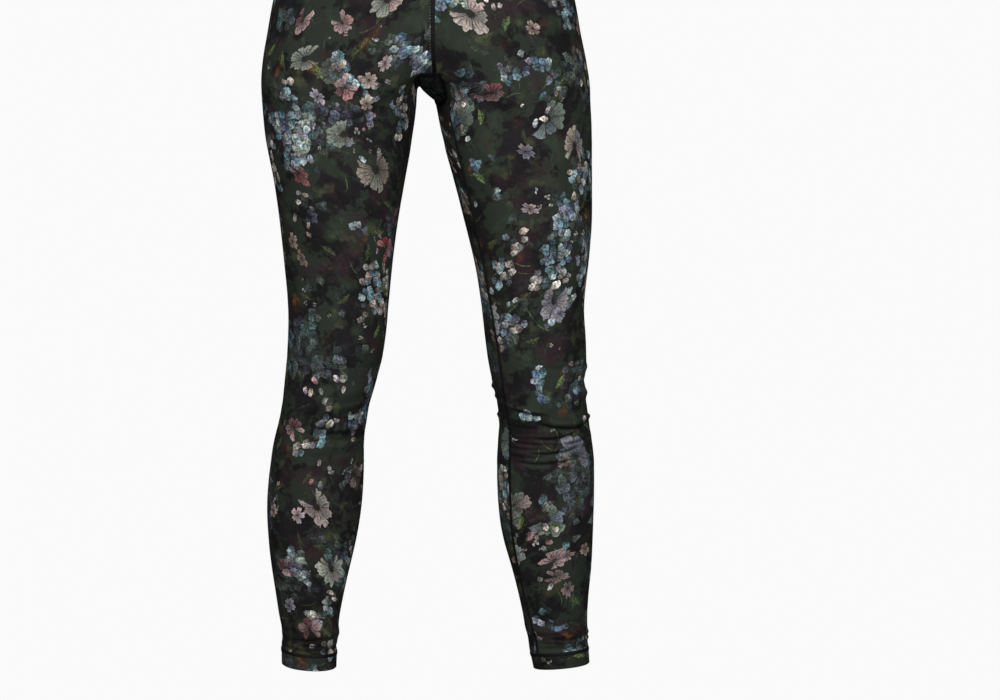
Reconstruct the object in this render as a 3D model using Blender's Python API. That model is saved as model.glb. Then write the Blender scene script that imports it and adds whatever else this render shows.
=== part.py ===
"""Floral stretch leggings, worn and filled out by a general figure that isn't built.

Metres, +Z up, +X to the viewer's right, the front faces -Y. The origin is the middle
of the waistband, where the waist holds the garment up. Left and right in the names are
the wearer's, so the left leg lies at +X.

One outer skin is worked out from the tables below, from the waist to both hems. Each
cut and sewn piece is a wall under its own part of that skin, with a small gap to its
neighbours along the seams. A front or back panel runs from waist to hem without a seam,
and is three walls here, at hip, thigh and calf, so that each bends round one hollow.
"""

import math
from collections import namedtuple

import bpy
from mathutils import Vector

# ---------------------------------------------------------------- driving sizes
CLOTH_WALL = 0.0015
BAND_WALL = 0.0022
SEAM_GAP = 0.0003

WAIST_TOP = 0.020
WAIST_SEAM = -0.020
CROTCH = -0.205
ROUND_LEG = -0.285
KNEE_SPLIT = -0.552
HEM_SEAM = -0.899
HEM_EDGE = -0.917

SIDES = {"left": 1, "right": -1}

# Columns run from centre front over the side seam to centre back, on each half.
COLUMNS = 22
SIDE_COLUMN = 11
GUSSET_COLUMNS = 3
GUSSET_STATIONS = 12
GUSSET_ACROSS = 2 * GUSSET_COLUMNS
LEG_COLUMNS = COLUMNS - 2 * GUSSET_COLUMNS + GUSSET_STATIONS
LEG_SIDE_COLUMN = SIDE_COLUMN - GUSSET_COLUMNS
LEG_BACK_CORNER = COLUMNS - 2 * GUSSET_COLUMNS
LEG_INSEAM = LEG_BACK_CORNER + GUSSET_STATIONS // 2

# Shares of the half girth, from centre front, where columns are fixed.
GUSSET_SHARE = 0.035
SIDE_SHARE = 0.535
# The hips are turned a little: centre front lies this far round towards +X.
HIP_TURN = 0.0125

LEG_POWER = 2.1
OUTLINE_STEPS = 180

# Width of the shallow valley at centre front and at centre back.
FRONT_VALLEY = 0.034
BACK_VALLEY = 0.042

# Smoothing round the crotch: full in the middle, none this far out or above this height.
RELAX_ROUNDS = 9
RELAX_STEP = 0.55
RELAX_RETURN = -0.56
RELAX_REACH = 0.085
RELAX_TOP = -0.130
RELAX_SLIDE = 0.1

# The hips by height. Power squares the section: 2 is an ellipse.
Hip = namedtuple(
    "Hip", "height centre width front back widest power front_dip back_dip front_lift back_lift"
)
HIPS = [
    Hip(0.020, -0.0010, 0.289, -0.098, 0.098, 0.000, 2.2, 0.000, 0.000, 0.000, 0.000),
    Hip(-0.020, -0.0010, 0.309, -0.101, 0.107, 0.003, 2.2, 0.000, 0.000, 0.000, 0.000),
    Hip(-0.060, -0.0010, 0.334, -0.104, 0.118, 0.006, 2.25, 0.000, 0.001, 0.000, 0.000),
    Hip(-0.106, -0.0012, 0.358, -0.105, 0.129, 0.009, 2.3, 0.000, 0.003, 0.000, 0.000),
    Hip(-0.145, -0.0014, 0.372, -0.103, 0.134, 0.010, 2.45, 0.001, 0.007, 0.000, 0.001),
    Hip(-0.177, -0.0009, 0.384, -0.100, 0.133, 0.008, 2.65, 0.007, 0.015, 0.004, 0.006),
    Hip(-0.205, 0.0003, 0.390, -0.097, 0.126, 0.006, 2.9, 0.019, 0.032, 0.017, 0.018),
]

# The leg's middle line and width, for each leg, and how far its seams are turned
# forward at the inseam and back at the side seam, in degrees.
Leg = namedtuple("Leg", "height centre width side_turn inseam_turn")
LEGS = {
    "right": [
        Leg(-0.205, 0.1014, 0.1892, 2, 9),
        Leg(-0.225, 0.1017, 0.1857, 4, 10),
        Leg(-0.270, 0.1027, 0.1742, 8, 10),
        Leg(-0.320, 0.1023, 0.1557, 10, 10),
        Leg(-0.370, 0.1032, 0.1402, 10, 10),
        Leg(-0.420, 0.1039, 0.1287, 10, 10),
        Leg(-0.470, 0.1044, 0.1197, 10, 10),
        Leg(-0.520, 0.1076, 0.1155, 10, 10),
        Leg(-0.560, 0.1146, 0.1090, 10, 10),
        Leg(-0.585, 0.1197, 0.1044, 10, 10),
        Leg(-0.610, 0.1248, 0.1046, 10, 10),
        Leg(-0.635, 0.1294, 0.1085, 10, 10),
        Leg(-0.660, 0.1316, 0.1123, 10, 10),
        Leg(-0.705, 0.1352, 0.1150, 10, 10),
        Leg(-0.750, 0.1382, 0.1080, 10, 10),
        Leg(-0.790, 0.1411, 0.0950, 10, 10),
        Leg(-0.835, 0.1431, 0.0787, 10, 10),
        Leg(-0.870, 0.1437, 0.0697, 10, 10),
        Leg(-0.917, 0.1444, 0.0667, 10, 10),
    ],
    "left": [
        Leg(-0.205, 0.1036, 0.1912, 4, 28),
        Leg(-0.225, 0.1043, 0.1882, 8, 31),
        Leg(-0.270, 0.1094, 0.1777, 16, 36),
        Leg(-0.320, 0.1163, 0.1642, 24, 36),
        Leg(-0.370, 0.1226, 0.1512, 30, 35),
        Leg(-0.420, 0.1266, 0.1352, 34, 35),
        Leg(-0.470, 0.1280, 0.1224, 37, 38),
        Leg(-0.520, 0.1323, 0.1199, 40, 43),
        Leg(-0.560, 0.1350, 0.1114, 42, 44),
        Leg(-0.585, 0.1388, 0.1070, 42, 44),
        Leg(-0.610, 0.1418, 0.1084, 43, 45),
        Leg(-0.635, 0.1430, 0.1134, 43, 45),
        Leg(-0.660, 0.1437, 0.1170, 43, 45),
        Leg(-0.705, 0.1444, 0.1164, 42, 44),
        Leg(-0.750, 0.1464, 0.1100, 40, 41),
        Leg(-0.790, 0.1512, 0.0974, 38, 36),
        Leg(-0.835, 0.1547, 0.0824, 38, 36),
        Leg(-0.870, 0.1578, 0.0752, 40, 42),
        Leg(-0.917, 0.1639, 0.0684, 42, 43),
    ],
}

# The leg from the side, the same for both: shin and thigh in front, calf behind.
Profile = namedtuple("Profile", "height front back widest")
PROFILES = [
    Profile(-0.205, -0.0925, 0.118, 0.006),
    Profile(-0.235, -0.0925, 0.101, 0.002),
    Profile(-0.270, -0.0920, 0.089, -0.002),
    Profile(-0.320, -0.0905, 0.078, -0.006),
    Profile(-0.370, -0.0875, 0.068, -0.009),
    Profile(-0.420, -0.0830, 0.060, -0.011),
    Profile(-0.480, -0.0780, 0.053, -0.012),
    Profile(-0.540, -0.0735, 0.049, -0.013),
    Profile(-0.585, -0.0670, 0.050, -0.012),
    Profile(-0.630, -0.0560, 0.060, 0.000),
    Profile(-0.690, -0.0480, 0.070, 0.010),
    Profile(-0.740, -0.0400, 0.069, 0.014),
    Profile(-0.800, -0.0260, 0.063, 0.018),
    Profile(-0.860, -0.0140, 0.060, 0.023),
    Profile(-0.917, -0.0110, 0.063, 0.026),
]

# The gusset's two side edges, from its blunt front end to its back end. It lies straight
# across between them.
Edge = namedtuple("Edge", "along right_x right_y right_z left_x left_y left_z")
GUSSET_EDGES = [
    Edge(0.00, -0.0104, -0.078, -0.190, 0.0199, -0.078, -0.190),
    Edge(0.25, -0.0102, -0.050, -0.205, 0.0240, -0.063, -0.206),
    Edge(0.50, -0.0095, -0.016, -0.207, 0.0257, -0.043, -0.2195),
    Edge(0.75, -0.0105, 0.037, -0.207, 0.0120, 0.022, -0.229),
    Edge(1.00, -0.0260, 0.094, -0.187, 0.0050, 0.094, -0.187),
]

# Heights of the rings between the seams: each stretch has equal steps.
Stretch = namedtuple("Stretch", "top bottom steps")
HIP_STRETCHES = [
    Stretch(WAIST_TOP, WAIST_SEAM, 2),
    Stretch(WAIST_SEAM, -0.145, 5),
    Stretch(-0.145, CROTCH, 3),
]
CROTCH_STEPS = 5
CROTCH_FADE = 1.6
LEG_STRETCHES = [
    Stretch(ROUND_LEG, KNEE_SPLIT, 9),
    Stretch(KNEE_SPLIT, -0.656, 13),
    Stretch(-0.656, -0.845, 7),
    Stretch(-0.845, HEM_SEAM, 7),
    Stretch(HEM_SEAM, HEM_EDGE, 2),
]

# Ridges (rise above 0) and creases (below 0) of the cloth at the knees, the ankles and
# under the seat. Angle is round the leg: 0 outside, -90 front, 90 back, 180 inside.
# Reach is half the fold's length in degrees, tilt lowers it towards greater angles,
# sag lowers its middle below its ends, and half is half its height.
Fold = namedtuple("Fold", "side height angle reach tilt sag rise half")
FOLDS = [
    Fold("left", -0.541, -20, 45, 0.000, 0.002, 0.0022, 0.008),
    Fold("left", -0.576, -30, 50, 0.001, 0.003, 0.0022, 0.008),
    Fold("left", -0.590, -112, 34, 0.005, 0.000, -0.0022, 0.007),
    Fold("left", -0.598, -60, 80, 0.000, 0.010, 0.0026, 0.008),
    Fold("left", -0.611, -78, 85, -0.003, 0.009, -0.0036, 0.008),
    Fold("left", -0.622, -80, 70, 0.000, 0.008, 0.0020, 0.008),
    Fold("left", -0.641, -95, 50, 0.002, 0.004, -0.0016, 0.008),
    Fold("left", -0.570, 95, 60, 0.000, 0.004, -0.0030, 0.009),
    Fold("left", -0.592, 85, 70, 0.003, 0.003, 0.0026, 0.009),
    Fold("left", -0.606, 100, 65, -0.002, 0.005, -0.0032, 0.008),
    Fold("left", -0.627, 90, 55, 0.003, 0.003, 0.0018, 0.009),
    Fold("right", -0.566, -100, 45, 0.001, 0.004, 0.0016, 0.009),
    Fold("right", -0.590, -105, 60, -0.002, 0.007, -0.0022, 0.008),
    Fold("right", -0.606, -125, 55, 0.002, 0.006, 0.0018, 0.008),
    Fold("right", -0.620, -130, 50, 0.004, 0.004, -0.0020, 0.008),
    Fold("right", -0.572, 88, 62, 0.002, 0.004, -0.0032, 0.009),
    Fold("right", -0.594, 95, 66, -0.002, 0.004, 0.0026, 0.009),
    Fold("right", -0.611, 86, 60, 0.003, 0.003, -0.0028, 0.008),
    Fold("right", -0.633, 98, 50, 0.000, 0.003, 0.0016, 0.009),
    Fold("left", -0.866, -60, 70, 0.002, 0.003, 0.0014, 0.008),
    Fold("left", -0.879, -90, 80, -0.002, 0.002, -0.0016, 0.007),
    Fold("left", -0.888, -30, 70, 0.002, 0.001, 0.0020, 0.007),
    Fold("left", -0.872, 120, 70, 0.002, 0.002, -0.0016, 0.008),
    Fold("left", -0.886, 110, 60, -0.002, 0.002, 0.0018, 0.007),
    Fold("right", -0.863, -110, 70, -0.002, 0.003, 0.0012, 0.008),
    Fold("right", -0.872, -150, 60, 0.003, 0.002, 0.0022, 0.006),
    Fold("right", -0.880, -80, 85, 0.002, 0.002, -0.0018, 0.007),
    Fold("right", -0.890, -160, 60, -0.002, 0.001, 0.0018, 0.006),
    Fold("right", -0.876, 70, 70, 0.002, 0.002, -0.0016, 0.008),
    Fold("right", -0.889, 60, 60, -0.002, 0.002, 0.0020, 0.006),
    Fold("left", -0.236, 78, 52, -0.006, -0.008, -0.0020, 0.012),
    Fold("right", -0.236, 78, 52, -0.006, -0.008, -0.0020, 0.012),
]

# Colour, roughness of each piece's cloth.
Finish = namedtuple("Finish", "red green blue roughness")
FINISHES = {
    "waistband": Finish(0.016, 0.015, 0.017, 0.80),
    "front": Finish(0.060, 0.062, 0.050, 0.85),
    "back": Finish(0.055, 0.058, 0.048, 0.85),
    "gusset": Finish(0.014, 0.014, 0.014, 0.85),
    "hem_band": Finish(0.040, 0.038, 0.034, 0.85),
}


# ---------------------------------------------------------------- small helpers
def smooth(value):
    """0 to 1 with level ends."""
    value = min(max(value, 0.0), 1.0)
    return value * value * (3 - 2 * value)


def bump(distance):
    """1 in the middle, fading smoothly to 0."""
    return math.exp(-distance * distance)


def read(table, key, at, name):
    """A smooth curve through one column of a table, read at one value of its key column."""
    keys = [getattr(row, key) for row in table]
    values = [getattr(row, name) for row in table]
    if keys[0] > keys[-1]:
        keys.reverse()
        values.reverse()
    at = min(max(at, keys[0]), keys[-1])
    last = len(keys) - 1
    i = max(n for n in range(last) if keys[n] <= at)

    def slope(n):
        low, high = max(n - 1, 0), min(n + 1, last)
        return (values[high] - values[low]) / (keys[high] - keys[low])

    step = keys[i + 1] - keys[i]
    t = (at - keys[i]) / step
    start = values[i] * (1 + 2 * t) * (1 - t) ** 2 + slope(i) * step * t * (1 - t) ** 2
    end = values[i + 1] * t * t * (3 - 2 * t) - slope(i + 1) * step * t * t * (1 - t)
    return start + end


def heights(stretches):
    """Ring heights down a list of stretches, each shared height once."""
    found = [stretches[0].top]
    for stretch in stretches:
        for n in range(1, stretch.steps + 1):
            found.append(stretch.top + (stretch.bottom - stretch.top) * n / stretch.steps)
    return found


class Outline:
    """A closed rounded section about (0, 0), read by distance from its front middle."""

    def __init__(self, half_width, front, back, power):
        def squared(value):
            return math.copysign(abs(value) ** (2 / power), value)

        self.points = []
        for n in range(OUTLINE_STEPS + 1):
            angle = math.radians(360 * n / OUTLINE_STEPS - 90)
            depth = front if math.sin(angle) < 0 else back
            self.points.append(Vector((half_width * squared(math.cos(angle)), depth * squared(math.sin(angle)))))
        self.ways = [0.0]
        for start, end in zip(self.points, self.points[1:]):
            self.ways.append(self.ways[-1] + (end - start).length)
        self.length = self.ways[-1]
        self.side = self.ways[OUTLINE_STEPS // 4]

    def at(self, way):
        """The point this far round, anticlockwise from above."""
        way %= self.length
        i = max(n for n in range(OUTLINE_STEPS) if self.ways[n] <= way)
        share = (way - self.ways[i]) / (self.ways[i + 1] - self.ways[i])
        return self.points[i].lerp(self.points[i + 1], share)


class Skin:
    """The outer face of the cloth: points, each piece's faces, and places round the legs."""

    def __init__(self):
        self.points = []
        self.faces = []
        self.places = {}
        self.holds = {}

    def add(self, point, hold=1.0):
        """A new point. Hold is how freely it may be smoothed, from 0 to 1."""
        self.points.append(point)
        self.holds[len(self.points) - 1] = hold
        return len(self.points) - 1

    def strip(self, piece, upper, lower, side):
        """One face between two pairs of points, facing out on the given side of the body."""
        face = [lower[0], lower[1], upper[1], upper[0]]
        self.faces.append((piece, face if side > 0 else face[::-1]))


# ---------------------------------------------------------------- hips
def column_share(column):
    """How far round the half girth a column lies: narrow steps beside the gusset's ends."""
    last_gusset = COLUMNS - GUSSET_COLUMNS
    if column <= GUSSET_COLUMNS:
        return GUSSET_SHARE * column / GUSSET_COLUMNS
    if column <= SIDE_COLUMN:
        part = (column - GUSSET_COLUMNS) / (SIDE_COLUMN - GUSSET_COLUMNS)
        return GUSSET_SHARE + (SIDE_SHARE - GUSSET_SHARE) * part
    if column <= last_gusset:
        part = (column - SIDE_COLUMN) / (last_gusset - SIDE_COLUMN)
        return SIDE_SHARE + (1 - GUSSET_SHARE - SIDE_SHARE) * part
    return 1 - GUSSET_SHARE * (COLUMNS - column) / GUSSET_COLUMNS


def hip_point(height, outline, side, column):
    """A point of a hip ring, with the valleys and lifts at centre front and centre back."""
    way = HIP_TURN + side * column_share(column) * outline.length / 2
    x, y = outline.at(way)
    x += read(HIPS, "height", height, "centre")
    y += read(HIPS, "height", height, "widest")
    z = height
    if y < 0:
        valley = bump((x - HIP_TURN) / FRONT_VALLEY)
        y += valley * read(HIPS, "height", height, "front_dip")
        z += valley * read(HIPS, "height", height, "front_lift")
    else:
        valley = bump((x + HIP_TURN) / BACK_VALLEY)
        y -= valley * read(HIPS, "height", height, "back_dip")
        z += valley * read(HIPS, "height", height, "back_lift")
    return Vector((x, y, z))


def hip_outline(height):
    widest = read(HIPS, "height", height, "widest")
    front = widest - read(HIPS, "height", height, "front")
    back = read(HIPS, "height", height, "back") - widest
    power = read(HIPS, "height", height, "power")
    return Outline(read(HIPS, "height", height, "width") / 2, front, back, power)


def add_hip_ring(skin, height):
    """One ring as a list of point numbers for each side. Both share centre front and back."""
    outline = hip_outline(height)

    def column_points(side, columns):
        return [skin.add(hip_point(height, outline, side, column)) for column in columns]

    left = column_points(SIDES["left"], range(COLUMNS + 1))
    right = column_points(SIDES["right"], range(1, COLUMNS))
    return {"left": left, "right": [left[0]] + right + [left[-1]]}


def add_hips(skin):
    """Waistband and hip rings. Returns the lowest ring, where gusset and legs begin."""
    levels = heights(HIP_STRETCHES)
    upper = add_hip_ring(skin, levels[0])
    for height in levels[1:]:
        lower = add_hip_ring(skin, height)
        for name, side in SIDES.items():
            for column in range(COLUMNS):
                piece = ("front_" if column < SIDE_COLUMN else "back_") + name + "_hip"
                if height > WAIST_SEAM - SEAM_GAP:
                    piece = "waistband"
                pair = slice(column, column + 2)
                skin.strip(piece, upper[name][pair], lower[name][pair], side)
        upper = lower
    return upper


# ---------------------------------------------------------------- gusset
def gusset_edge(name, along):
    return Vector([read(GUSSET_EDGES, "along", along, f"{name}_{axis}") for axis in "xyz"])


def end_row(skin, row, along):
    """Puts an end row of the gusset between its side edges, evenly spaced on each half."""
    middle = skin.points[row[GUSSET_COLUMNS]]
    for name, step in (("right", -1), ("left", 1)):
        corner = gusset_edge(name, along)
        for n in range(1, GUSSET_COLUMNS + 1):
            skin.points[row[GUSSET_COLUMNS + n * step]] = middle.lerp(corner, n / GUSSET_COLUMNS)


def add_gusset(skin, crotch_ring):
    """The gusset between the front and back panels. Returns each side edge, front to back."""
    front = crotch_ring["right"][GUSSET_COLUMNS::-1] + crotch_ring["left"][1 : GUSSET_COLUMNS + 1]
    back_right = crotch_ring["right"][COLUMNS - GUSSET_COLUMNS :]
    back_left = crotch_ring["left"][COLUMNS - GUSSET_COLUMNS :]
    back = back_right + back_left[-2::-1]
    end_row(skin, front, 0.0)
    end_row(skin, back, 1.0)
    rows = [front]
    for station in range(1, GUSSET_STATIONS):
        along = station / GUSSET_STATIONS
        right, left = gusset_edge("right", along), gusset_edge("left", along)
        row = []
        for step in range(GUSSET_ACROSS + 1):
            hold = 0.25 if step in (0, GUSSET_ACROSS) else 1.0
            row.append(skin.add(right.lerp(left, step / GUSSET_ACROSS), hold))
        rows.append(row)
    rows.append(back)
    for near, far in zip(rows, rows[1:]):
        for step in range(GUSSET_ACROSS):
            skin.faces.append(("gusset", [near[step], far[step], far[step + 1], near[step + 1]]))
    return {"right": [row[0] for row in rows], "left": [row[-1] for row in rows]}


# ---------------------------------------------------------------- legs
def leg_angle(name, height, column):
    """Degrees round the leg from its outer side, towards the back, with the leg's turn."""
    base = 360 * (column - LEG_SIDE_COLUMN) / LEG_COLUMNS
    inward = (1 - math.cos(math.radians(base))) / 2
    side_turn = read(LEGS[name], "height", height, "side_turn")
    inseam_turn = read(LEGS[name], "height", height, "inseam_turn")
    return base + side_turn * (1 - inward) + inseam_turn * inward


def leg_section(name, height):
    """The leg's outline at a height, and where its middle lies."""
    widest = read(PROFILES, "height", height, "widest")
    front = widest - read(PROFILES, "height", height, "front")
    back = read(PROFILES, "height", height, "back") - widest
    outline = Outline(read(LEGS[name], "height", height, "width") / 2, front, back, LEG_POWER)
    return outline, Vector((read(LEGS[name], "height", height, "centre"), widest))


def leg_point(name, section, height, column):
    outline, middle = section
    angle = leg_angle(name, height, column)
    point = outline.at(outline.side + outline.length * angle / 360) + middle
    return Vector((SIDES[name] * point.x, point.y, height))


def leg_points(name, height):
    section = leg_section(name, height)
    return [leg_point(name, section, height, column) for column in range(LEG_COLUMNS)]


def crotch_points(name, top, share):
    """A ring this share of the way from the leg's top, which isn't level, to its first level one.

    What the top differs from the leg's own section fades out on the way down."""
    points = []
    for column, start in enumerate(top):
        height = start.z + (ROUND_LEG - start.z) * share
        own_top = leg_point(name, leg_section(name, start.z), start.z, column)
        own = leg_point(name, leg_section(name, height), height, column)
        points.append(own + (start - own_top) * (1 - share) ** CROTCH_FADE)
    return points


def add_leg_ring(skin, name, height, points, hold):
    """A ring of a leg, with each point's place round it for the folds."""
    ring = []
    for column, point in enumerate(points):
        number = skin.add(point, hold)
        angle = (leg_angle(name, height, column) + 180) % 360 - 180
        skin.places[number] = (name, point.z, angle)
        ring.append(number)
    return ring


def leg_part(height):
    """The part of the leg that lies just above a ring at this height."""
    if height > KNEE_SPLIT - SEAM_GAP:
        return "thigh"
    return "calf" if height > HEM_SEAM - SEAM_GAP else "band"


def join_leg_rings(skin, name, upper, lower, part):
    for column in range(LEG_COLUMNS):
        behind = LEG_SIDE_COLUMN <= column < LEG_INSEAM
        piece = ("back_" if behind else "front_") + name + "_" + part
        if part == "band":
            piece = "hem_band_" + name
        after = (column + 1) % LEG_COLUMNS
        skin.strip(piece, (upper[column], upper[after]), (lower[column], lower[after]), SIDES[name])


def add_leg(skin, name, crotch_ring, gusset_side):
    """From the crotch ring and the gusset's edge down to the hem."""
    outer = crotch_ring[name][GUSSET_COLUMNS : COLUMNS - GUSSET_COLUMNS + 1]
    upper = outer + gusset_side[-2:0:-1]
    top = [skin.points[number].copy() for number in upper]
    for step in range(1, CROTCH_STEPS + 1):
        points = crotch_points(name, top, step / CROTCH_STEPS)
        hold = 1.0 if step < CROTCH_STEPS else 0.3
        lower = add_leg_ring(skin, name, ROUND_LEG, points, hold)
        join_leg_rings(skin, name, upper, lower, "thigh")
        upper = lower
    for height in heights(LEG_STRETCHES)[1:]:
        lower = add_leg_ring(skin, name, height, leg_points(name, height), 0.0)
        join_leg_rings(skin, name, upper, lower, leg_part(height))
        upper = lower


# ---------------------------------------------------------------- shaping the skin
def neighbours_of(skin):
    found = {number: set() for number in range(len(skin.points))}
    for _, face in skin.faces:
        for start, end in zip(face, face[1:] + face[:1]):
            found[start].add(end)
            found[end].add(start)
    return found


def normals_of(skin):
    """The outward direction at each point, from the faces round it by their size."""
    normals = [Vector() for _ in skin.points]
    for _, face in skin.faces:
        a, b, c, d = (skin.points[number] for number in face)
        across = (c - a).cross(d - b)
        for number in face:
            normals[number] += across
    return [normal.normalized() for normal in normals]


def relax(skin):
    """Smooths the cloth round the crotch, as a stretched knit pulls itself smooth.

    Each round draws the points in and lets them out again, so that the form isn't thinned.
    They move mostly along their normals, so that the seams keep their places."""
    neighbours = neighbours_of(skin)
    freedom = {}
    for number, point in enumerate(skin.points):
        near = smooth(1.25 - 1.25 * abs(point.x) / RELAX_REACH)
        below = smooth((RELAX_TOP - point.z) / 0.04)
        free = near * below * skin.holds[number]
        if free > 0:
            freedom[number] = free
    for step in (RELAX_STEP, RELAX_RETURN) * RELAX_ROUNDS:
        normals = normals_of(skin)
        moved = {}
        for number, free in freedom.items():
            middle = sum((skin.points[n] for n in neighbours[number]), Vector())
            away = middle / len(neighbours[number]) - skin.points[number]
            outward = normals[number] * away.dot(normals[number])
            moved[number] = skin.points[number] + step * free * (outward + RELAX_SLIDE * (away - outward))
        for number, point in moved.items():
            skin.points[number] = point


def fold_rise(name, height, angle):
    """How far the folds of one leg lift the cloth at a place round it."""
    rise = 0.0
    for fold in FOLDS:
        if fold.side != name:
            continue
        away = (angle - fold.angle + 180) % 360 - 180
        share = away / fold.reach
        if abs(share) >= 1:
            continue
        middle = fold.height - fold.tilt * share - fold.sag * (1 - share * share)
        rise += fold.rise * smooth(1.6 * (1 - abs(share))) * bump((height - middle) / fold.half)
    return rise


def add_folds(skin):
    normals = normals_of(skin)
    for number, (name, height, angle) in skin.places.items():
        skin.points[number] = skin.points[number] + normals[number] * fold_rise(name, height, angle)


def make_skin():
    skin = Skin()
    crotch_ring = add_hips(skin)
    gusset_sides = add_gusset(skin, crotch_ring)
    for name in SIDES:
        add_leg(skin, name, crotch_ring, gusset_sides[name])
    relax(skin)
    add_folds(skin)
    return skin


# ---------------------------------------------------------------- pieces
def border_moves(skin, faces):
    """Moves half a seam gap inward along the cloth, for the points on a piece's border."""
    owners = {}
    for face in faces:
        for start, end in zip(face, face[1:] + face[:1]):
            owners.setdefault(frozenset((start, end)), []).append((face, start, end))
    moves = {}
    border = []
    for uses in owners.values():
        if len(uses) > 1:
            continue
        face, start, end = uses[0]
        border.append((start, end))
        a, b, c, d = (skin.points[number] for number in face)
        along = (skin.points[end] - skin.points[start]).normalized()
        inward = (c - a).cross(d - b).normalized().cross(along)
        for number in (start, end):
            moves.setdefault(number, []).append(inward)
    for number, directions in moves.items():
        middle = sum(directions, Vector()).normalized()
        spread = max(middle.dot(directions[0]), 0.5)
        moves[number] = middle * (SEAM_GAP / 2 / spread)
    return moves, border


def make_piece(skin, normals, piece, wall):
    """A solid wall from the skin inward, closed all round its border."""
    faces = [face for owner, face in skin.faces if owner == piece]
    moves, border = border_moves(skin, faces)
    numbers = sorted({number for face in faces for number in face})
    count = len(numbers)
    place = {number: index for index, number in enumerate(numbers)}
    outer = [skin.points[number] + moves.get(number, Vector()) for number in numbers]
    inner = [point - normals[number] * wall for point, number in zip(outer, numbers)]
    outside = [[place[number] for number in face] for face in faces]
    inside = [[place[number] + count for number in reversed(face)] for face in faces]
    rim = [
        [place[end], place[start], place[start] + count, place[end] + count]
        for start, end in border
    ]
    mesh = bpy.data.meshes.new(piece)
    mesh.from_pydata(outer + inner, [], outside + inside + rim)
    mesh.validate()
    mesh.shade_smooth()
    mesh.set_sharp_from_angle(angle=math.radians(50))
    return mesh


def cloth_material(kind):
    finish = FINISHES[kind]
    material = bpy.data.materials.new(kind + "_cloth")
    material.use_nodes = True
    shader = material.node_tree.nodes["Principled BSDF"]
    shader.inputs["Base Color"].default_value = (finish.red, finish.green, finish.blue, 1)
    shader.inputs["Roughness"].default_value = finish.roughness
    shader.inputs["Metallic"].default_value = 0
    material.diffuse_color = (finish.red, finish.green, finish.blue, 1)
    return material


def clear_scene():
    for old in list(bpy.data.objects):
        bpy.data.objects.remove(old, do_unlink=True)


def main():
    clear_scene()
    skin = make_skin()
    normals = normals_of(skin)
    materials = {kind: cloth_material(kind) for kind in FINISHES}
    garment = bpy.data.objects.new("leggings", None)
    bpy.context.scene.collection.objects.link(garment)
    for piece in sorted({owner for owner, _ in skin.faces}):
        kind = next(kind for kind in FINISHES if piece.startswith(kind))
        wall = BAND_WALL if "band" in kind else CLOTH_WALL
        obj = bpy.data.objects.new(piece, make_piece(skin, normals, piece, wall))
        obj.data.materials.append(materials[kind])
        obj.parent = garment
        bpy.context.scene.collection.objects.link(obj)


main()
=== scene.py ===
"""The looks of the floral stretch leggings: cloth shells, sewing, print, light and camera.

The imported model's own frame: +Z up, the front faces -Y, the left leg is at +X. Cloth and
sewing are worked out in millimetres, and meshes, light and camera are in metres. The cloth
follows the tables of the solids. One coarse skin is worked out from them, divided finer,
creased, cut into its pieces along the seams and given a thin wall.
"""

import math
from collections import namedtuple
from functools import partialmethod

import bpy
import numpy as np
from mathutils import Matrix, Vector, noise

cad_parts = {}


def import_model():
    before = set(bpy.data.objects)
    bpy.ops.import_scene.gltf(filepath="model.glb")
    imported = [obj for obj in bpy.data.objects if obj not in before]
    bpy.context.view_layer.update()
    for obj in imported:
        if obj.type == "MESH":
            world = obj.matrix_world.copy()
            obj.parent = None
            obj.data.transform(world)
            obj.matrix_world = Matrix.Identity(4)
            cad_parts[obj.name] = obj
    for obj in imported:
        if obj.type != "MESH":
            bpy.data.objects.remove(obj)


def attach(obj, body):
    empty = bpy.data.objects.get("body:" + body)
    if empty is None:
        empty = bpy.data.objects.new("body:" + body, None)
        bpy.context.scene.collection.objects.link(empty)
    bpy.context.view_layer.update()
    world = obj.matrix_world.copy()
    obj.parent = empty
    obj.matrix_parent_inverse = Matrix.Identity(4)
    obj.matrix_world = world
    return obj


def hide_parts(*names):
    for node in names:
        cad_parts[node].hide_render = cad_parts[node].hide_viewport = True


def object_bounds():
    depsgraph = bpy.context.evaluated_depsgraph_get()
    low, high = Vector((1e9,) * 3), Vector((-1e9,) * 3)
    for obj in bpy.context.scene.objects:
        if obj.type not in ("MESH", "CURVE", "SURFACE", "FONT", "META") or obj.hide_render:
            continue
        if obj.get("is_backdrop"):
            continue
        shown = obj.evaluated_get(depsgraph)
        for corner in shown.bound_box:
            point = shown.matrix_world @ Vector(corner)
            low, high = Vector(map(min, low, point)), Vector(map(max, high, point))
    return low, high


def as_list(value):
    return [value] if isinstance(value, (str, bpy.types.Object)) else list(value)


MM = 0.001

# ---- driving sizes ----
WAIST_TOP = 20
WAIST_SEAM = -20
CROTCH = -205
ROUND_LEG = -285
HEM_SEAM = -899
HEM_EDGE = -917

CLOTH_WALL = 1.0
BAND_WALL = 2.0
SEAM_GAP = 0.2

SIDES = {"left": 1, "right": -1}

# Columns run from centre front over the side seam to centre back, on each half. A leg's
# ring starts and ends at its inseam.
COLUMNS = 22
SIDE_COLUMN = 11
GUSSET_COLUMNS = 3
GUSSET_STATIONS = 12
GUSSET_ACROSS = 2 * GUSSET_COLUMNS
GUSSET_MIDDLE = GUSSET_STATIONS // 2
LEG_COLUMNS = COLUMNS - 2 * GUSSET_COLUMNS + GUSSET_STATIONS
LEG_SIDE_COLUMN = LEG_COLUMNS // 2

# How finely the cloth is divided, and how often that is fitted to the coarse points.
CLOTH_LEVELS = 2
FIT_ROUNDS = 2
# How far a folded edge bulges, as a share of its wall, and how near the edge that starts.
EDGE_SWELL = 0.45
EDGE_NEAR = 0.5

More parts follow.
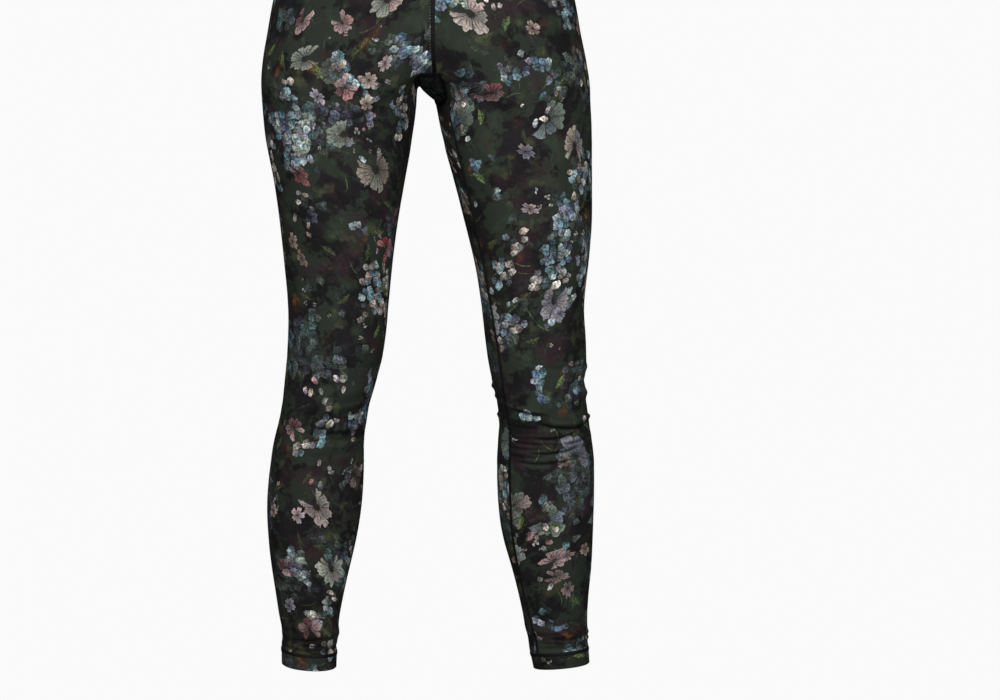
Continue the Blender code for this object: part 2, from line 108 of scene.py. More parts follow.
# Columns that are fixed, and their shares of the half girth from centre front.
GUSSET_SHARE = 0.035
SIDE_SHARE = 0.535
FIXED_COLUMNS = (0, GUSSET_COLUMNS, SIDE_COLUMN, COLUMNS - GUSSET_COLUMNS, COLUMNS)
FIXED_SHARES = (0, GUSSET_SHARE, SIDE_SHARE, 1 - GUSSET_SHARE, 1)
# The hips are turned a little: centre front lies this far round towards +X.
HIP_TURN = 12.5

LEG_POWER = 2.1
OUTLINE_STEPS = 180

# Width of the shallow valley at centre front and at centre back.
FRONT_VALLEY = 34
BACK_VALLEY = 42

# Smoothing round the crotch: full in the middle, none this far out or above this height.
RELAX_ROUNDS = 9
RELAX_STEP = 0.55
RELAX_RETURN = -0.56
RELAX_FULL = 1.25
RELAX_REACH = 85
RELAX_TOP = -130
RELAX_FADE = 40
RELAX_SLIDE = 0.1
# How freely the gusset's edges and the first level ring of a leg move in it.
GUSSET_HOLD = 0.25
ROUND_HOLD = 0.3

# The hips by height. Power squares the section: 2 is an ellipse.
Hip = namedtuple(
    "Hip", "height centre width front back widest power front_dip back_dip front_lift back_lift"
)
HIPS = [
    Hip(20, -1, 289, -98, 98, 0, 2.2, 0, 0, 0, 0),
    Hip(-20, -1, 309, -101, 107, 3, 2.2, 0, 0, 0, 0),
    Hip(-60, -1, 334, -104, 118, 6, 2.25, 0, 1, 0, 0),
    Hip(-106, -1.2, 358, -105, 129, 9, 2.3, 0, 3, 0, 0),
    Hip(-145, -1.4, 372, -103, 134, 10, 2.45, 1, 7, 0, 1),
    Hip(-177, -0.9, 384, -100, 133, 8, 2.65, 7, 15, 4, 6),
    Hip(-205, 0.3, 390, -97, 126, 6, 2.9, 19, 32, 17, 18),
]

# The leg's middle line and width, for each leg, and how far its seams are turned: back at
# the side seam, forward at the inseam, in degrees.
Leg = namedtuple("Leg", "height centre width side_turn inseam_turn")
LEGS = {
    "right": [
        Leg(-205, 101.4, 189.2, 2, 9),
        Leg(-225, 101.7, 185.7, 4, 10),
        Leg(-270, 102.7, 174.2, 8, 10),
        Leg(-320, 102.3, 155.7, 10, 10),
        Leg(-370, 103.2, 140.2, 10, 10),
        Leg(-420, 103.9, 128.7, 10, 10),
        Leg(-470, 104.4, 119.7, 10, 10),
        Leg(-520, 107.6, 115.5, 10, 10),
        Leg(-560, 114.6, 109, 10, 10),
        Leg(-585, 119.7, 104.4, 10, 10),
        Leg(-610, 124.8, 104.6, 10, 10),
        Leg(-635, 129.4, 108.5, 10, 10),
        Leg(-660, 131.6, 112.3, 10, 10),
        Leg(-705, 135.2, 115, 10, 10),
        Leg(-750, 138.2, 108, 10, 10),
        Leg(-790, 141.1, 95, 10, 10),
        Leg(-835, 143.1, 78.7, 10, 10),
        Leg(-870, 143.7, 69.7, 10, 10),
        Leg(-917, 144.4, 66.7, 10, 10),
    ],
    "left": [
        Leg(-205, 103.6, 191.2, 4, 28),
        Leg(-225, 104.3, 188.2, 8, 31),
        Leg(-270, 109.4, 177.7, 16, 36),
        Leg(-320, 116.3, 164.2, 24, 36),
        Leg(-370, 122.6, 151.2, 30, 35),
        Leg(-420, 126.6, 135.2, 34, 35),
        Leg(-470, 128, 122.4, 37, 38),
        Leg(-520, 132.3, 119.9, 40, 43),
        Leg(-560, 135, 111.4, 42, 44),
        Leg(-585, 138.8, 107, 42, 44),
        Leg(-610, 141.8, 108.4, 43, 45),
        Leg(-635, 143, 113.4, 43, 45),
        Leg(-660, 143.7, 117, 43, 45),
        Leg(-705, 144.4, 116.4, 42, 44),
        Leg(-750, 146.4, 110, 40, 41),
        Leg(-790, 151.2, 97.4, 38, 36),
        Leg(-835, 154.7, 82.4, 38, 36),
        Leg(-870, 157.8, 75.2, 40, 42),
        Leg(-917, 163.9, 68.4, 42, 43),
    ],
}

# The leg from the side, the same for both: shin and thigh in front, calf behind.
Profile = namedtuple("Profile", "height front back widest")
PROFILES = [
    Profile(-205, -92.5, 118, 6),
    Profile(-235, -92.5, 101, 2),
    Profile(-270, -92, 89, -2),
    Profile(-320, -90.5, 78, -6),
    Profile(-370, -87.5, 68, -9),
    Profile(-420, -83, 60, -11),
    Profile(-480, -78, 53, -12),
    Profile(-540, -73.5, 49, -13),
    Profile(-585, -67, 50, -12),
    Profile(-630, -56, 60, 0),
    Profile(-690, -48, 70, 10),
    Profile(-740, -40, 69, 14),
    Profile(-800, -26, 63, 18),
    Profile(-860, -14, 60, 23),
    Profile(-917, -11, 63, 26),
]

# The gusset's two side edges, from its blunt front end to its back end. It lies straight
# across between them.
Edge = namedtuple("Edge", "along right_x right_y right_z left_x left_y left_z")
GUSSET_EDGES = [
    Edge(0, -10.4, -78, -190, 19.9, -78, -190),
    Edge(0.25, -10.2, -50, -205, 24, -63, -206),
    Edge(0.5, -9.5, -16, -207, 25.7, -43, -219.5),
    Edge(0.75, -10.5, 37, -207, 12, 22, -229),
    Edge(1, -26, 94, -187, 5, 94, -187),
]

# Heights of the rings: each after the first is reached in so many equal steps.
HIP_RINGS = [(WAIST_TOP, 0), (WAIST_SEAM, 2), (-145, 5), (CROTCH, 3)]
LEG_RINGS = [(ROUND_LEG, 0), (-530, 9), (-664, 24), (-845, 7), (HEM_SEAM, 10), (HEM_EDGE, 3)]
CROTCH_STEPS = 5
CROTCH_FADE = 1.6

# Ridges (rise above 0) and creases (below 0) of the cloth at the knees, the ankles and
# under the seat. Angle is round the leg: 0 outside, -90 front, 90 back, 180 inside.
# Reach is half the fold's length in degrees, tilt lowers it towards greater angles,
# sag lowers its middle below its ends, and half is half its height.
Fold = namedtuple("Fold", "height angle reach tilt sag rise half")
FOLDS = {
    "left": [
        (-541, -10, 45, 0, 1, 1.8, 5),
        (-572, -10, 50, 1, 1, 2.6, 5),
        (-586.5, -116, 34, 6, 0, 1.6, 3),
        (-592.5, -102, 30, 4, 0, -2, 2.1),
        (-596, -56, 50, 1, 9.5, 1.4, 3),
        (-602.5, -56, 50, 1, 9.5, -3.6, 2.4),
        (-603, 2, 26, 1, 0, 2.4, 2.4),
        (-613.5, -72, 42, -6.5, 10, -2.8, 2.2),
        (-633.5, -78, 48, -4.5, 8, -2.6, 2.2),
        (-648, -88, 50, -3, 6.5, -2.4, 2.2),
        (-564, 172, 34, 1, 1, 2, 2.6),
        (-576.5, 168, 34, 1, 1, 1.8, 2.4),
        (-600, 174, 34, -1, 1, 1.8, 2.8),
        (-570, 95, 60, 0, 4, -3, 9),
        (-592, 85, 70, 3, 3, 2.6, 9),
        (-606, 100, 65, -2, 5, -3.2, 8),
        (-627, 90, 55, 3, 3, 1.8, 9),
        (-866, -60, 70, 2, 3, 1.4, 8),
        (-879, -90, 80, -2, 2, -1.6, 7),
        (-874.5, 0, 34, 1, 1, 1.2, 3.5),
        (-879.5, -70, 45, 2, 2, -2, 2.4),
        (-884.5, -4, 30, 1, 0, 1.4, 2.2),
        (-890, -80, 75, 1, 1, -1.8, 3),
        (-872, 120, 70, 2, 2, -1.6, 8),
        (-886, 110, 60, -2, 2, 1.8, 7),
        (-236, 78, 52, -6, -8, -2, 12),
        # Smaller creases between them.
        (-608.5, -112, 36, 1, 2, -1.2, 2),
        (-618, -110, 34, 1, 3, 1, 2.4),
        (-623.5, -60, 30, -3, 4, 1.2, 2.6),
        (-628.5, -108, 36, 1, 2, -1.6, 2),
        (-625.5, -45, 30, -4, 3, -1.4, 2),
        (-635, -114, 34, 0, 2, -1.2, 2),
        (-639.5, -106, 36, -1, 2, 1, 2.4),
        (-644, -112, 34, -1, 3, -1.4, 2),
        (-660, -84, 40, 0, 3, -0.8, 2.6),
        (-534, -60, 40, 2, 3, -0.9, 4.2),
        (-556, -10, 42, 2, 2, -1.1, 4),
        (-672, -96, 34, 1, 2, -0.6, 3.4),
        (-556, 100, 50, 2, 3, 1, 4),
        (-582, 112, 40, -3, 3, 1.2, 3.4),
        (-617, 76, 46, 2, 3, -1.2, 3.4),
        (-641, 96, 40, -2, 2, -0.9, 3.6),
        (-853, -88, 50, 2, 2, -0.6, 4),
        (-872, -112, 46, -3, 1, -0.9, 2.8),
        (-885, -100, 44, 2, 1, -1.2, 2),
        (-865, 84, 48, -2, 2, 0.9, 3),
        (-880, 66, 52, 2, 1, -1, 2.6),
        (-892, 130, 50, 1, 1, -0.9, 2.4),
    ],
    "right": [
        (-566, -100, 45, 1, 4, 1.6, 9),
        (-590, -105, 60, -2, 7, -2.2, 8),
        (-606, -125, 55, 2, 6, 1.8, 8),
        (-620, -130, 50, 4, 4, -2, 8),
        (-572, 88, 62, 2, 4, -3.2, 9),
        (-594, 95, 66, -2, 4, 2.6, 9),
        (-611, 86, 60, 3, 3, -2.8, 8),
        (-633, 98, 50, 0, 3, 1.6, 9),
        (-863, -110, 70, -2, 3, 1.2, 8),
        (-872, -150, 60, 3, 2, 2.2, 6),
        (-880, -80, 85, 2, 2, -1.8, 7),
        (-877, 0, 70, 0, 0, -1.4, 18),
        (-880, -90, 26, 0, 1, -1.6, 1.8),
        (-886.8, -97, 40, 0, 1, -2.2, 2.2),
        (-890.5, -178, 36, 0, 0, -1.4, 2.5),
        (-892.5, -88, 78, 0, 1, -2, 3),
        (-876, 70, 70, 2, 2, -1.6, 8),
        (-889, 60, 60, -2, 2, 2, 6),
        (-236, 78, 52, -6, -8, -2, 12),
        # Smaller creases between them.
        (-553, -84, 38, 1, 3, -0.7, 4),
        (-579, -118, 46, 1, 5, 1, 3.6),
        (-599, -92, 44, -2, 5, 0.9, 3.4),
        (-613, -108, 52, 1, 5, -1, 3.2),
        (-629, -124, 42, 3, 3, 0.8, 3.4),
        (-641, -100, 36, 1, 3, -0.6, 3.4),
        (-560, 82, 50, -2, 3, 1, 4),
        (-584, 100, 44, 2, 3, 1.1, 3.4),
        (-603, 78, 46, -1, 3, -1.1, 3.4),
        (-624, 104, 38, -3, 2, -0.9, 3.6),
        (-852, -84, 54, -2, 2, -0.6, 4),
        (-867, -58, 46, 2, 1, -0.8, 2.8),
        (-876, -126, 48, 3, 1, -1.1, 2.6),
        (-868, 96, 52, 2, 2, 0.8, 3),
        (-882, 118, 46, -2, 1, -1, 2.6),
        (-893, 70, 56, 1, 1, -0.9, 2.4),
    ],
}
# How soon a fold is at its full depth from either end.
FOLD_ENDS = 1.6

# The worn hems aren't quite level: how far each one rises all round, at its outer side
# and at its front, and the height where this fades out.
HEM_RISES = {"left": (1.8, 3.4, 3.2), "right": (2.4, 2.6, 0.2)}
HEM_RISE_TOP = -850
HEM_RISE_FADE = 45

# Faint unevenness of the worn knit, and where it is strongest.
RIPPLE_SIZE = (42, 42, 13)
RIPPLE_REST = 0.10
Bunch = namedtuple("Bunch", "height half depth")
RIPPLE_BUNCHES = [Bunch(-602, 45, 0.6), Bunch(-880, 20, 0.9), Bunch(-215, 25, 0.3)]

# Each piece of cloth: its flat cut in metres before it is stretched on, that cut's area in
# square metres, its finish, and where its print starts, in metres. A panel stands for
# three solids.
Cut = namedtuple("Cut", "width length area slot shift_u shift_v")
PANEL_PARTS = ("hip", "thigh", "calf")
CUTS = {
    "waistband": Cut(0.72, 0.040, 0.0288, "waistband_cloth", 0, 0),
    "front_left": Cut(0.29, 0.86, 0.163, "printed_cloth", 10.998, 5.086),
    "front_right": Cut(0.29, 0.86, 0.163, "printed_cloth", 5.838, 3.926),
    "back_left": Cut(0.33, 0.86, 0.164, "printed_cloth", 5.49, 0.83),
    "back_right": Cut(0.33, 0.86, 0.164, "printed_cloth", 7.73, 0.11),
    "gusset": Cut(0.047, 0.172, 0.0053, "gusset_cloth", 9.17, 0.40),
    "hem_band_left": Cut(0.205, 0.018, 0.00369, "hem_cloth", 11.3, 0.70),
    "hem_band_right": Cut(0.205, 0.018, 0.00369, "hem_cloth", 13.9, 0.20),
}

# The seams: two pieces that meet there, or one piece and all that it meets, which of their
# seams it is from the top, the covering's width and height, the pitch of its crossing
# thread, and perhaps a row of needle stitches beside it: how far across (left of a
# falling seam, up from a level one), how far apart and how bright. Their pale paint is
# painted highlight on the thread.
Dots = namedtuple("Dots", "across pitch paint")
Seam = namedtuple("Seam", "name pieces which width height pitch dots")
SEAMS = [
    Seam("centre_front", ("front_left", "front_right"), 0, 5.0, 0.5, 2.1, Dots(3.3, 3.4, "needle")),
    Seam("centre_back", ("back_left", "back_right"), 0, 5.0, 0.5, 2.1, Dots(3.3, 3.4, "needle_dim")),
    Seam("side_left", ("front_left", "back_left"), 0, 3.8, 0.4, 1.9, None),
    Seam("inseam_left", ("front_left", "back_left"), 1, 3.8, 0.4, 1.9, None),
    Seam("side_right", ("front_right", "back_right"), 0, 3.8, 0.4, 1.9, None),
    Seam("inseam_right", ("front_right", "back_right"), 1, 3.8, 0.4, 1.9, None),
    Seam("gusset", ("gusset",), 0, 4.2, 0.4, 2.0, None),
    Seam("waist", ("waistband",), 0, 5.6, 0.4, 2.1, None),
    Seam("hem_left", ("hem_band_left",), 0, 4.2, 0.4, 1.9, Dots(-3.1, 2.6, "needle_dim")),
    Seam("hem_right", ("hem_band_right",), 0, 4.2, 0.4, 1.9, Dots(-3.1, 2.6, "needle_dim")),
]
PATH_STEP = 0.8
PATH_SMOOTHING = 2
TAPE_STEP = 2.2
TAPE_SINK = 0.3
TAPE_TOP = 0.7
THREAD_RADIUS = 0.22
THREAD_SECTION = ((1, 0), (0, 1), (-1, 0), (0, -1))
THREAD_SEAT = 0.6
ZIGZAG_SHARE = 0.78
# The straight rows at both edges of a covering, and one stitch along its length.
ROW_SHARE = 0.37
ROW_PITCH = 2.6
ROW_STITCH = 1.8
DOT_STITCH = 1.1
DOT_RADIUS = 0.34
STITCH_SHARES = np.array([-0.5, -0.25, 0.25, 0.5])
STITCH_RISES = np.array([-0.9, 0.5, 0.5, -0.9])
STITCH_SWELLS = np.array([0.6, 1.0, 1.0, 0.6])

# ---- colours and print ----
# Red, green and blue from 0 to 255, as they look on screen.
PAINTS = {
    "aubergine": (31, 28, 31),
    "night": (21, 20, 22),
    "moss": (44, 50, 43),
    "fern": (54, 67, 50),
    "plum": (52, 34, 42),
    "rust": (80, 50, 38),
    "amber": (146, 104, 56),
    "teal": (110, 146, 154),
    "ice": (174, 192, 194),
    "blue": (92, 116, 142),
    "steel": (118, 130, 142),
    "lavender": (152, 150, 166),
    "violet": (90, 86, 108),
    "sage": (156, 166, 152),
    "grey_green": (114, 126, 114),
    "tan": (150, 130, 114),
    "beige": (178, 161, 148),
    "cream": (224, 220, 210),
    "blush": (203, 178, 174),
    "pink": (188, 138, 142),
    "rose": (160, 76, 82),
    "wine": (94, 44, 54),
    "leaf": (96, 120, 74),
    "olive": (92, 98, 62),
    "stem": (52, 62, 44),
    "heart": (24, 22, 26),
    "thread": (15, 14, 16),
    # Needle threads: their pale grey is painted highlight on the thread, dimmer in the second.
    "needle": (150, 150, 150),
    "needle_dim": (70, 70, 72),
    "lining": (60, 58, 60),
    "waistband": (26, 25, 27),
    "backdrop": (250, 250, 250),
}

# Painted shade in the creases: how much of its colour the cloth keeps in the deepest one.
VALLEY_LIGHT = 0.12

# All flowers gather in the same beds, this many millimetres across. Looseness is how far
# chance spreads them past their beds.
BED_SIZE = 105
HEAD_LOOSENESS = 0.05
FLOWER_LOOSENESS = 0.08

# Masses of single overlapping petals, as on the heads of hydrangeas, in millimetres. Kept
# is the share of places that grow, in patches of the given size.
Petal = namedtuple("Petal", "seed spacing scatter long wide kept patch opacity paints")
PETALS = [
    Petal(2.0, 9.0, 0.8, 7.4, 6.0, 0.26, 80, 0.42, "steel violet grey_green teal"),
    Petal(3.0, 8.0, 0.85, 7.0, 5.8, 0.15, 62, 0.9, "steel teal blue lavender ice sage"),
    Petal(3.5, 9.4, 0.9, 6.2, 5.2, 0.10, 62, 1.0, "ice teal steel beige cream"),
    Petal(8.5, 13.0, 0.9, 5.4, 3.2, 0.06, 45, 1.0, "cream beige ice pink"),
]

# Layers of whole flowers from the lowest up, in millimetres. Scatter is how uneven their
# places are. Arc is how much of the flower shows, in degrees, lost the share of petals
# missing, squash how far it is turned from view, waist how deep the petals meet, and notch
# and ruffle shape their tips.
Flower = namedtuple(
    "Flower",
    "seed spacing scatter reach petals kept patch arc lost squash waist notch ruffle veins"
    " core opacity paints",
)
FLOWERS = [
    Flower(1.0, 34, 0.7, 15, 5, 0.50, 70, 360, 0.2, 0.5, 0.55, 0.10, 0.5, 3, 0.2, 0.26,
           "moss plum fern grey_green"),
    Flower(4.0, 80, 0.6, 31, 7, 0.33, 60, 220, 0.0, 0.25, 0.84, 0.08, 0.45, 5, 0.2, 1.0,
           "lavender sage grey_green steel"),
    Flower(5.0, 88, 0.6, 28, 6, 0.30, 60, 280, 0.0, 0.25, 0.78, 0.12, 0.5, 4, 0.2, 1.0,
           "lavender beige sage blush"),
    Flower(6.0, 38, 0.8, 13, 5, 0.17, 80, 360, 0.0, 0.3, 0.40, 0.16, 0.3, 3, 0.12, 0.95,
           "beige tan blush lavender"),
    Flower(7.0, 60, 0.8, 20, 5, 0.21, 110, 290, 0.0, 0.4, 0.66, 0.08, 0.45, 3, 0.12, 1.0,
           "rose blush wine blush"),
    Flower(8.0, 15, 0.8, 5.0, 3, 0.07, 55, 300, 0.3, 0.4, 0.35, 0.05, 0.3, 1, 0.08, 1.0,
           "cream beige ice pink"),
]
Leaf = namedtuple("Leaf", "seed spacing scatter length width kept patch opacity paints")
LEAVES = [
    Leaf(1.5, 30, 0.8, 20, 7, 0.44, 70, 0.45, "stem moss olive"),
    Leaf(4.5, 30, 0.9, 26, 1.9, 0.34, 90, 0.65, "olive stem leaf stem"),
    Leaf(5.5, 52, 0.8, 21, 8.5, 0.20, 90, 0.95, "leaf olive stem leaf"),
]

# Noise grows something above this level, which is lower the more of it is kept.
GROW_LEVEL = 0.50
GROW_SLOPE = 0.30
GROW_EDGE = 0.004
# How far layers are moved apart in their cells and patches, and flowers in their draws.
CELL_SHIFT = np.array([7.31, 3.17, 0])
PATCH_SHIFT = np.array([137, 61, 0])
DRAW_SHIFT = 57

# Noise, as its size in millimetres, its detail and its roughness. Moss grows where the
# broad noise and the ragged one, each by its share, add up to a lot.
MOSS_BROAD = (56, 5, 0.60)
MOSS_RAGGED = (11, 4, 0.65)
MOSS_SHARES = (1.03, 0.42)
MOSS_EDGE = (0.69, 0.765)
DEEP_NOISE = (30, 3, 0.6)
DEEP_EDGE = (0.40, 0.62)
RAGGED_SHIFT = (310, 50, 0)
DEEP_SHIFT = (20, 410, 0)
SWAY_NOISE = (9, 2, 0.6)
SWAY = 3.2
DAPPLE_NOISE = (2.8, 2, 0.6)
DAPPLE_DARK = 0.46
DAPPLE_LIGHT = 1.75
# Chance makes petals and flowers smaller and fainter, down to these shares of their row's.
PETAL_SIZES = (0.72, 1.12)
PETAL_FAINTEST = 0.6
FLOWER_SMALLEST = 0.72
FLOWER_FAINTEST = 0.35
# The noise that ruffles a petal's edge. On a flower its size is a share of the reach.
PETAL_RUFFLE = (2.6, 2, 0.6)
RUFFLE_SHARE = 0.26
# Where the shadow round a petal fades, in its own size, and round a flower, in millimetres.
PETAL_SHADOW_REACH = (-0.55, 0.05)
FLOWER_SHADOW_REACH = (-2.2, 0.3)
# How soft both ends of a half-open flower are.
ARC_EDGE = 0.05
# Light on petals from root to tip and from one petal to the next, in their streaks, veins
# and folds, and on what lies in their shadow.
PETAL_LIGHT = (0.26, 1.22)
PETAL_SHADES = (0.5, 1.45)
PETAL_STREAK = 0.66
PETAL_SHADOW = 0.42
FLOWER_LIGHT = (0.30, 1.28)
FLOWER_SHADES = (1.12, 0.66)
FLOWER_VEIN = (1.1, 0.26)
FLOWER_FOLD = 0.32
FLOWER_SHADOW = 0.45
LEAF_LIGHT = (0.6, 1.15)
LEAF_RIB = 0.75
# Soft patches of other colours on the ground, in millimetres.
SPOT_DETAIL = 3
SPOT_SLANT = 1.7
Spot = namedtuple("Spot", "size low high shift most paint")
GROUND_SPOTS = [
    Spot(36, 0.54, 0.72, 130, 0.55, "fern"),
    Spot(50, 0.54, 0.74, 290, 0.70, "plum"),
    Spot(34, 0.62, 0.80, 510, 0.50, "rust"),
    Spot(34, 0.70, 0.88, 510, 0.60, "amber"),
    Spot(30, 0.62, 0.80, 720, 0.50, "olive"),
]

# Each cloth's brightness of print or plain paint, its roughness, and the size and depth of
# its knit in metres.
Finish = namedtuple("Finish", "look roughness knit depth")
FINISHES = {
    "printed_cloth": Finish(0.88, 0.85, 0.0011, 0.0003),
    "hem_cloth": Finish(0.78, 0.85, 0.0011, 0.0003),
    "gusset_cloth": Finish(0.25, 0.9, 0.0011, 0.0003),
    "waistband_cloth": Finish("waistband", 0.8, 0.0016, 0.0005),
    "lining": Finish("lining", 0.95, 0.0014, 0.0004),
}

# The uneven dye of plain cloth: its noise, in metres, and how much it dims and brightens.
PLAIN_MOTTLE = (0.012, 2)
MOTTLE_LIGHT = (0.9, 1.1)
KNIT_STRENGTH = 0.5
CLOTH_SPECULAR = 0.2
THREAD_SPECULAR = 0.25
THREAD_ROUGHNESS = 0.7

# ---- light and camera ----
AIM = (0.0, 0.0, -0.50)
Light = namedtuple("Light", "name x y z size watts")
LIGHTS = [
    Light("key", -0.5, -3.4, 2.4, 2.0, 150),
    Light("fill", 1.2, -3.8, 0.4, 2.0, 65),
    Light("behind", 0.0, 4.0, 0.8, 1.0, 60),
]
WORLD_LIGHT = 0.08
FLOOR_HEIGHT = -1.0
DOME_RADIUS = 20.0

CAMERA_PLACE = (0.0888, -4.2, 0.03)
CAMERA_TILT = 7.514
CAMERA_LENS = 127.08
CAMERA_SENSOR = 36
CAMERA_FAR = 60.0

# ---- small helpers ----
def smooth(values):
    """0 to 1 with level ends."""
    values = np.clip(values, 0, 1)
    return values * values * (3 - 2 * values)


def bump(distance):
    """1 in the middle, fading smoothly to 0."""
    return np.exp(-distance * distance)


def unit(vectors):
    return vectors / np.linalg.norm(vectors, axis=1, keepdims=True)


def ways_along(points):
    """How far each point of a line lies from its start."""
    steps = np.linalg.norm(np.diff(points, axis=0), axis=1)
    return np.concatenate([[0.0], np.cumsum(steps)])


def along_line(rows, ways, at):
    """The line's rows of numbers, read at these distances from its start."""
    return np.stack([np.interp(at, ways, column) for column in np.transpose(rows)], axis=-1)


def row_at(table, at):
    """A table's row for any value of its first column, with a smooth curve through the others."""
    rows = np.array(sorted(table), float)
    last = len(rows) - 1
    i = int(np.clip(np.searchsorted(rows[:, 0], at, "right") - 1, 0, last - 1))
    step = rows[i + 1, 0] - rows[i, 0]
    t = np.clip((at - rows[i, 0]) / step, 0, 1)
    found = rows[i] * (1 + 2 * t) * (1 - t) ** 2 + rows[i + 1] * t * t * (3 - 2 * t)
    for n, share in ((i, t * (1 - t) ** 2), (i + 1, -t * t * (1 - t))):
        change = rows[min(n + 1, last)] - rows[max(n - 1, 0)]
        found += change / change[0] * step * share
    return type(table[0])._make(found)


def ring_heights(stretches):
    found = [stretches[0][0]]
    for bottom, steps in stretches[1:]:
        found += np.linspace(found[-1], bottom, steps + 1)[1:].tolist()
    return found


def normals_of(points, faces):
    """The outward direction at each point, from the faces round it by their size."""
    a, b, c, d = (points[faces[:, n]] for n in range(4))
    across = np.cross(c - a, d - b)
    found = np.zeros_like(points)
    for n in range(4):
        np.add.at(found, faces[:, n], across)
    return unit(found)


def edges_of(faces):
    """Every face's edges in turn: where they start and end, and both points in order."""
    starts = faces.ravel()
    ends = np.roll(faces, -1, axis=1).ravel()
    return starts, ends, np.sort(np.stack([starts, ends], axis=1), axis=1)


def new_object(name, data):
    obj = bpy.data.objects.new(name, data)
    bpy.context.scene.collection.objects.link(obj)
    return obj


class Outline:
    """A closed rounded section about (0, 0), read by distance from its front middle."""

    def __init__(self, width, row, power):
        angles = np.radians(360 * np.arange(OUTLINE_STEPS + 1) / OUTLINE_STEPS - 90)
        x, y = (np.copysign(abs(turn) ** (2 / power), turn) for turn in (np.cos(angles), np.sin(angles)))
        depths = np.where(y < 0, row.widest - row.front, row.back - row.widest)
        self.points = np.stack([width / 2 * x, depths * y], axis=1)
        self.ways = ways_along(self.points)
        self.length = self.ways[-1]
        self.side = self.ways[OUTLINE_STEPS // 4]

    def at(self, way):
        """The points this far round, anticlockwise from above."""
        return along_line(self.points, self.ways, way % self.length)


class Skin:
    """The coarse outer face of the cloth.

    A hold is how freely a point may be smoothed, from 0 to 1. A turn is the direction of its
    angle round the leg, and the leg's side. A face is its piece's name, four point numbers and
    how far round the flat cloth each lies. A ring is points in a row round one side of the
    body, each with its distance from the side seam."""

    def __init__(self):
        self.points = []
        self.holds = []
        self.turns = []
        self.faces = []

    def add(self, point, hold=1.0, turn=(0, 0, 0)):
        self.points.append(point)
        self.holds.append(hold)
        self.turns.append(turn)
        return len(self.points) - 1

    def ring(self, numbers, side_column):
        ways = ways_along([self.points[number] for number in numbers])
        return list(zip(numbers, ways - ways[side_column]))

    def band(self, upper, lower, name, side_column, whole):
        """The faces between two rings of one side, of its front and back or of one whole piece."""
        side = SIDES[name]
        for column in range(len(upper) - 1):
            half = ("front_" if column < side_column else "back_") + name
            corners = [lower[column], lower[column + 1], upper[column + 1], upper[column]]
            numbers, ways = zip(*corners[::side])
            self.faces.append((whole or half, numbers, [side * way for way in ways]))


# ---- hips ----
def add_hip_ring(skin, height):
    """One ring for each side, with the valleys and lifts at centre front and centre back."""
    hip = row_at(HIPS, height)
    outline = Outline(hip.width, hip, hip.power)
    shares = np.interp(range(COLUMNS + 1), FIXED_COLUMNS, FIXED_SHARES)
    found = {}
    for name, side in SIDES.items():
        x, y = outline.at(HIP_TURN + side * shares * outline.length / 2).T
        x += hip.centre
        y += hip.widest
        front = (y < 0) * bump((x - HIP_TURN) / FRONT_VALLEY)
        back = (y >= 0) * bump((x + HIP_TURN) / BACK_VALLEY)
        z = height + front * hip.front_lift + back * hip.back_lift
        y += front * hip.front_dip - back * hip.back_dip
        points = np.stack([x, y, z], axis=1)
        if name == "left":
            found[name] = [skin.add(point) for point in points]
        else:
            between = [skin.add(point) for point in points[1:-1]]
            found[name] = [found["left"][0]] + between + [found["left"][-1]]
    return {name: skin.ring(numbers, SIDE_COLUMN) for name, numbers in found.items()}


def add_hips(skin):
    """Waistband and hips. Returns each side's numbers in the lowest ring."""
    levels = ring_heights(HIP_RINGS)
    upper = add_hip_ring(skin, levels[0])
    for height in levels[1:]:
        lower = add_hip_ring(skin, height)
        whole = "waistband" if height > WAIST_SEAM - SEAM_GAP else None
        for name in SIDES:
            skin.band(upper[name], lower[name], name, SIDE_COLUMN, whole)
        upper = lower
    return {name: [number for number, _ in ring] for name, ring in upper.items()}


# ---- gusset ----
def gusset_corners(along):
    """The gusset's right and left edge, this share of the way to its back end."""
    edge = row_at(GUSSET_EDGES, along)
    return np.array(edge[1:4]), np.array(edge[4:7])


def space_end(skin, row, along):
    """Spaces an end row of the gusset evenly between its middle and each corner."""
    right, left = gusset_corners(along)
    middle = skin.points[row[GUSSET_COLUMNS]]
    for n, number in enumerate(row):
        away = n / GUSSET_COLUMNS - 1
        corner = left if away > 0 else right
        skin.points[number] = middle + (corner - middle) * abs(away)


def add_gusset(skin, crotch):
    """The gusset between the front and back panels. Returns each side edge, front to back."""
    right, left = crotch["right"], crotch["left"]
    front = right[GUSSET_COLUMNS::-1] + left[1 : GUSSET_COLUMNS + 1]
    back = right[-GUSSET_COLUMNS - 1 :] + left[-2 : -GUSSET_COLUMNS - 2 : -1]
    space_end(skin, front, 0)
    space_end(skin, back, 1)
    rows = [front]
    for station in range(1, GUSSET_STATIONS):
        right, left = gusset_corners(station / GUSSET_STATIONS)
        row = []
        for step in range(GUSSET_ACROSS + 1):
            hold = GUSSET_HOLD if step in (0, GUSSET_ACROSS) else 1.0
            row.append(skin.add(right + (left - right) * step / GUSSET_ACROSS, hold))
        rows.append(row)
    rows.append(back)
    for near, far in zip(rows, rows[1:]):
        for step in range(GUSSET_ACROSS):
            face = [near[step], far[step], far[step + 1], near[step + 1]]
            skin.faces.append(("gusset", face, [skin.points[number][0] for number in face]))
    return {"right": [row[0] for row in rows], "left": [row[-1] for row in rows]}


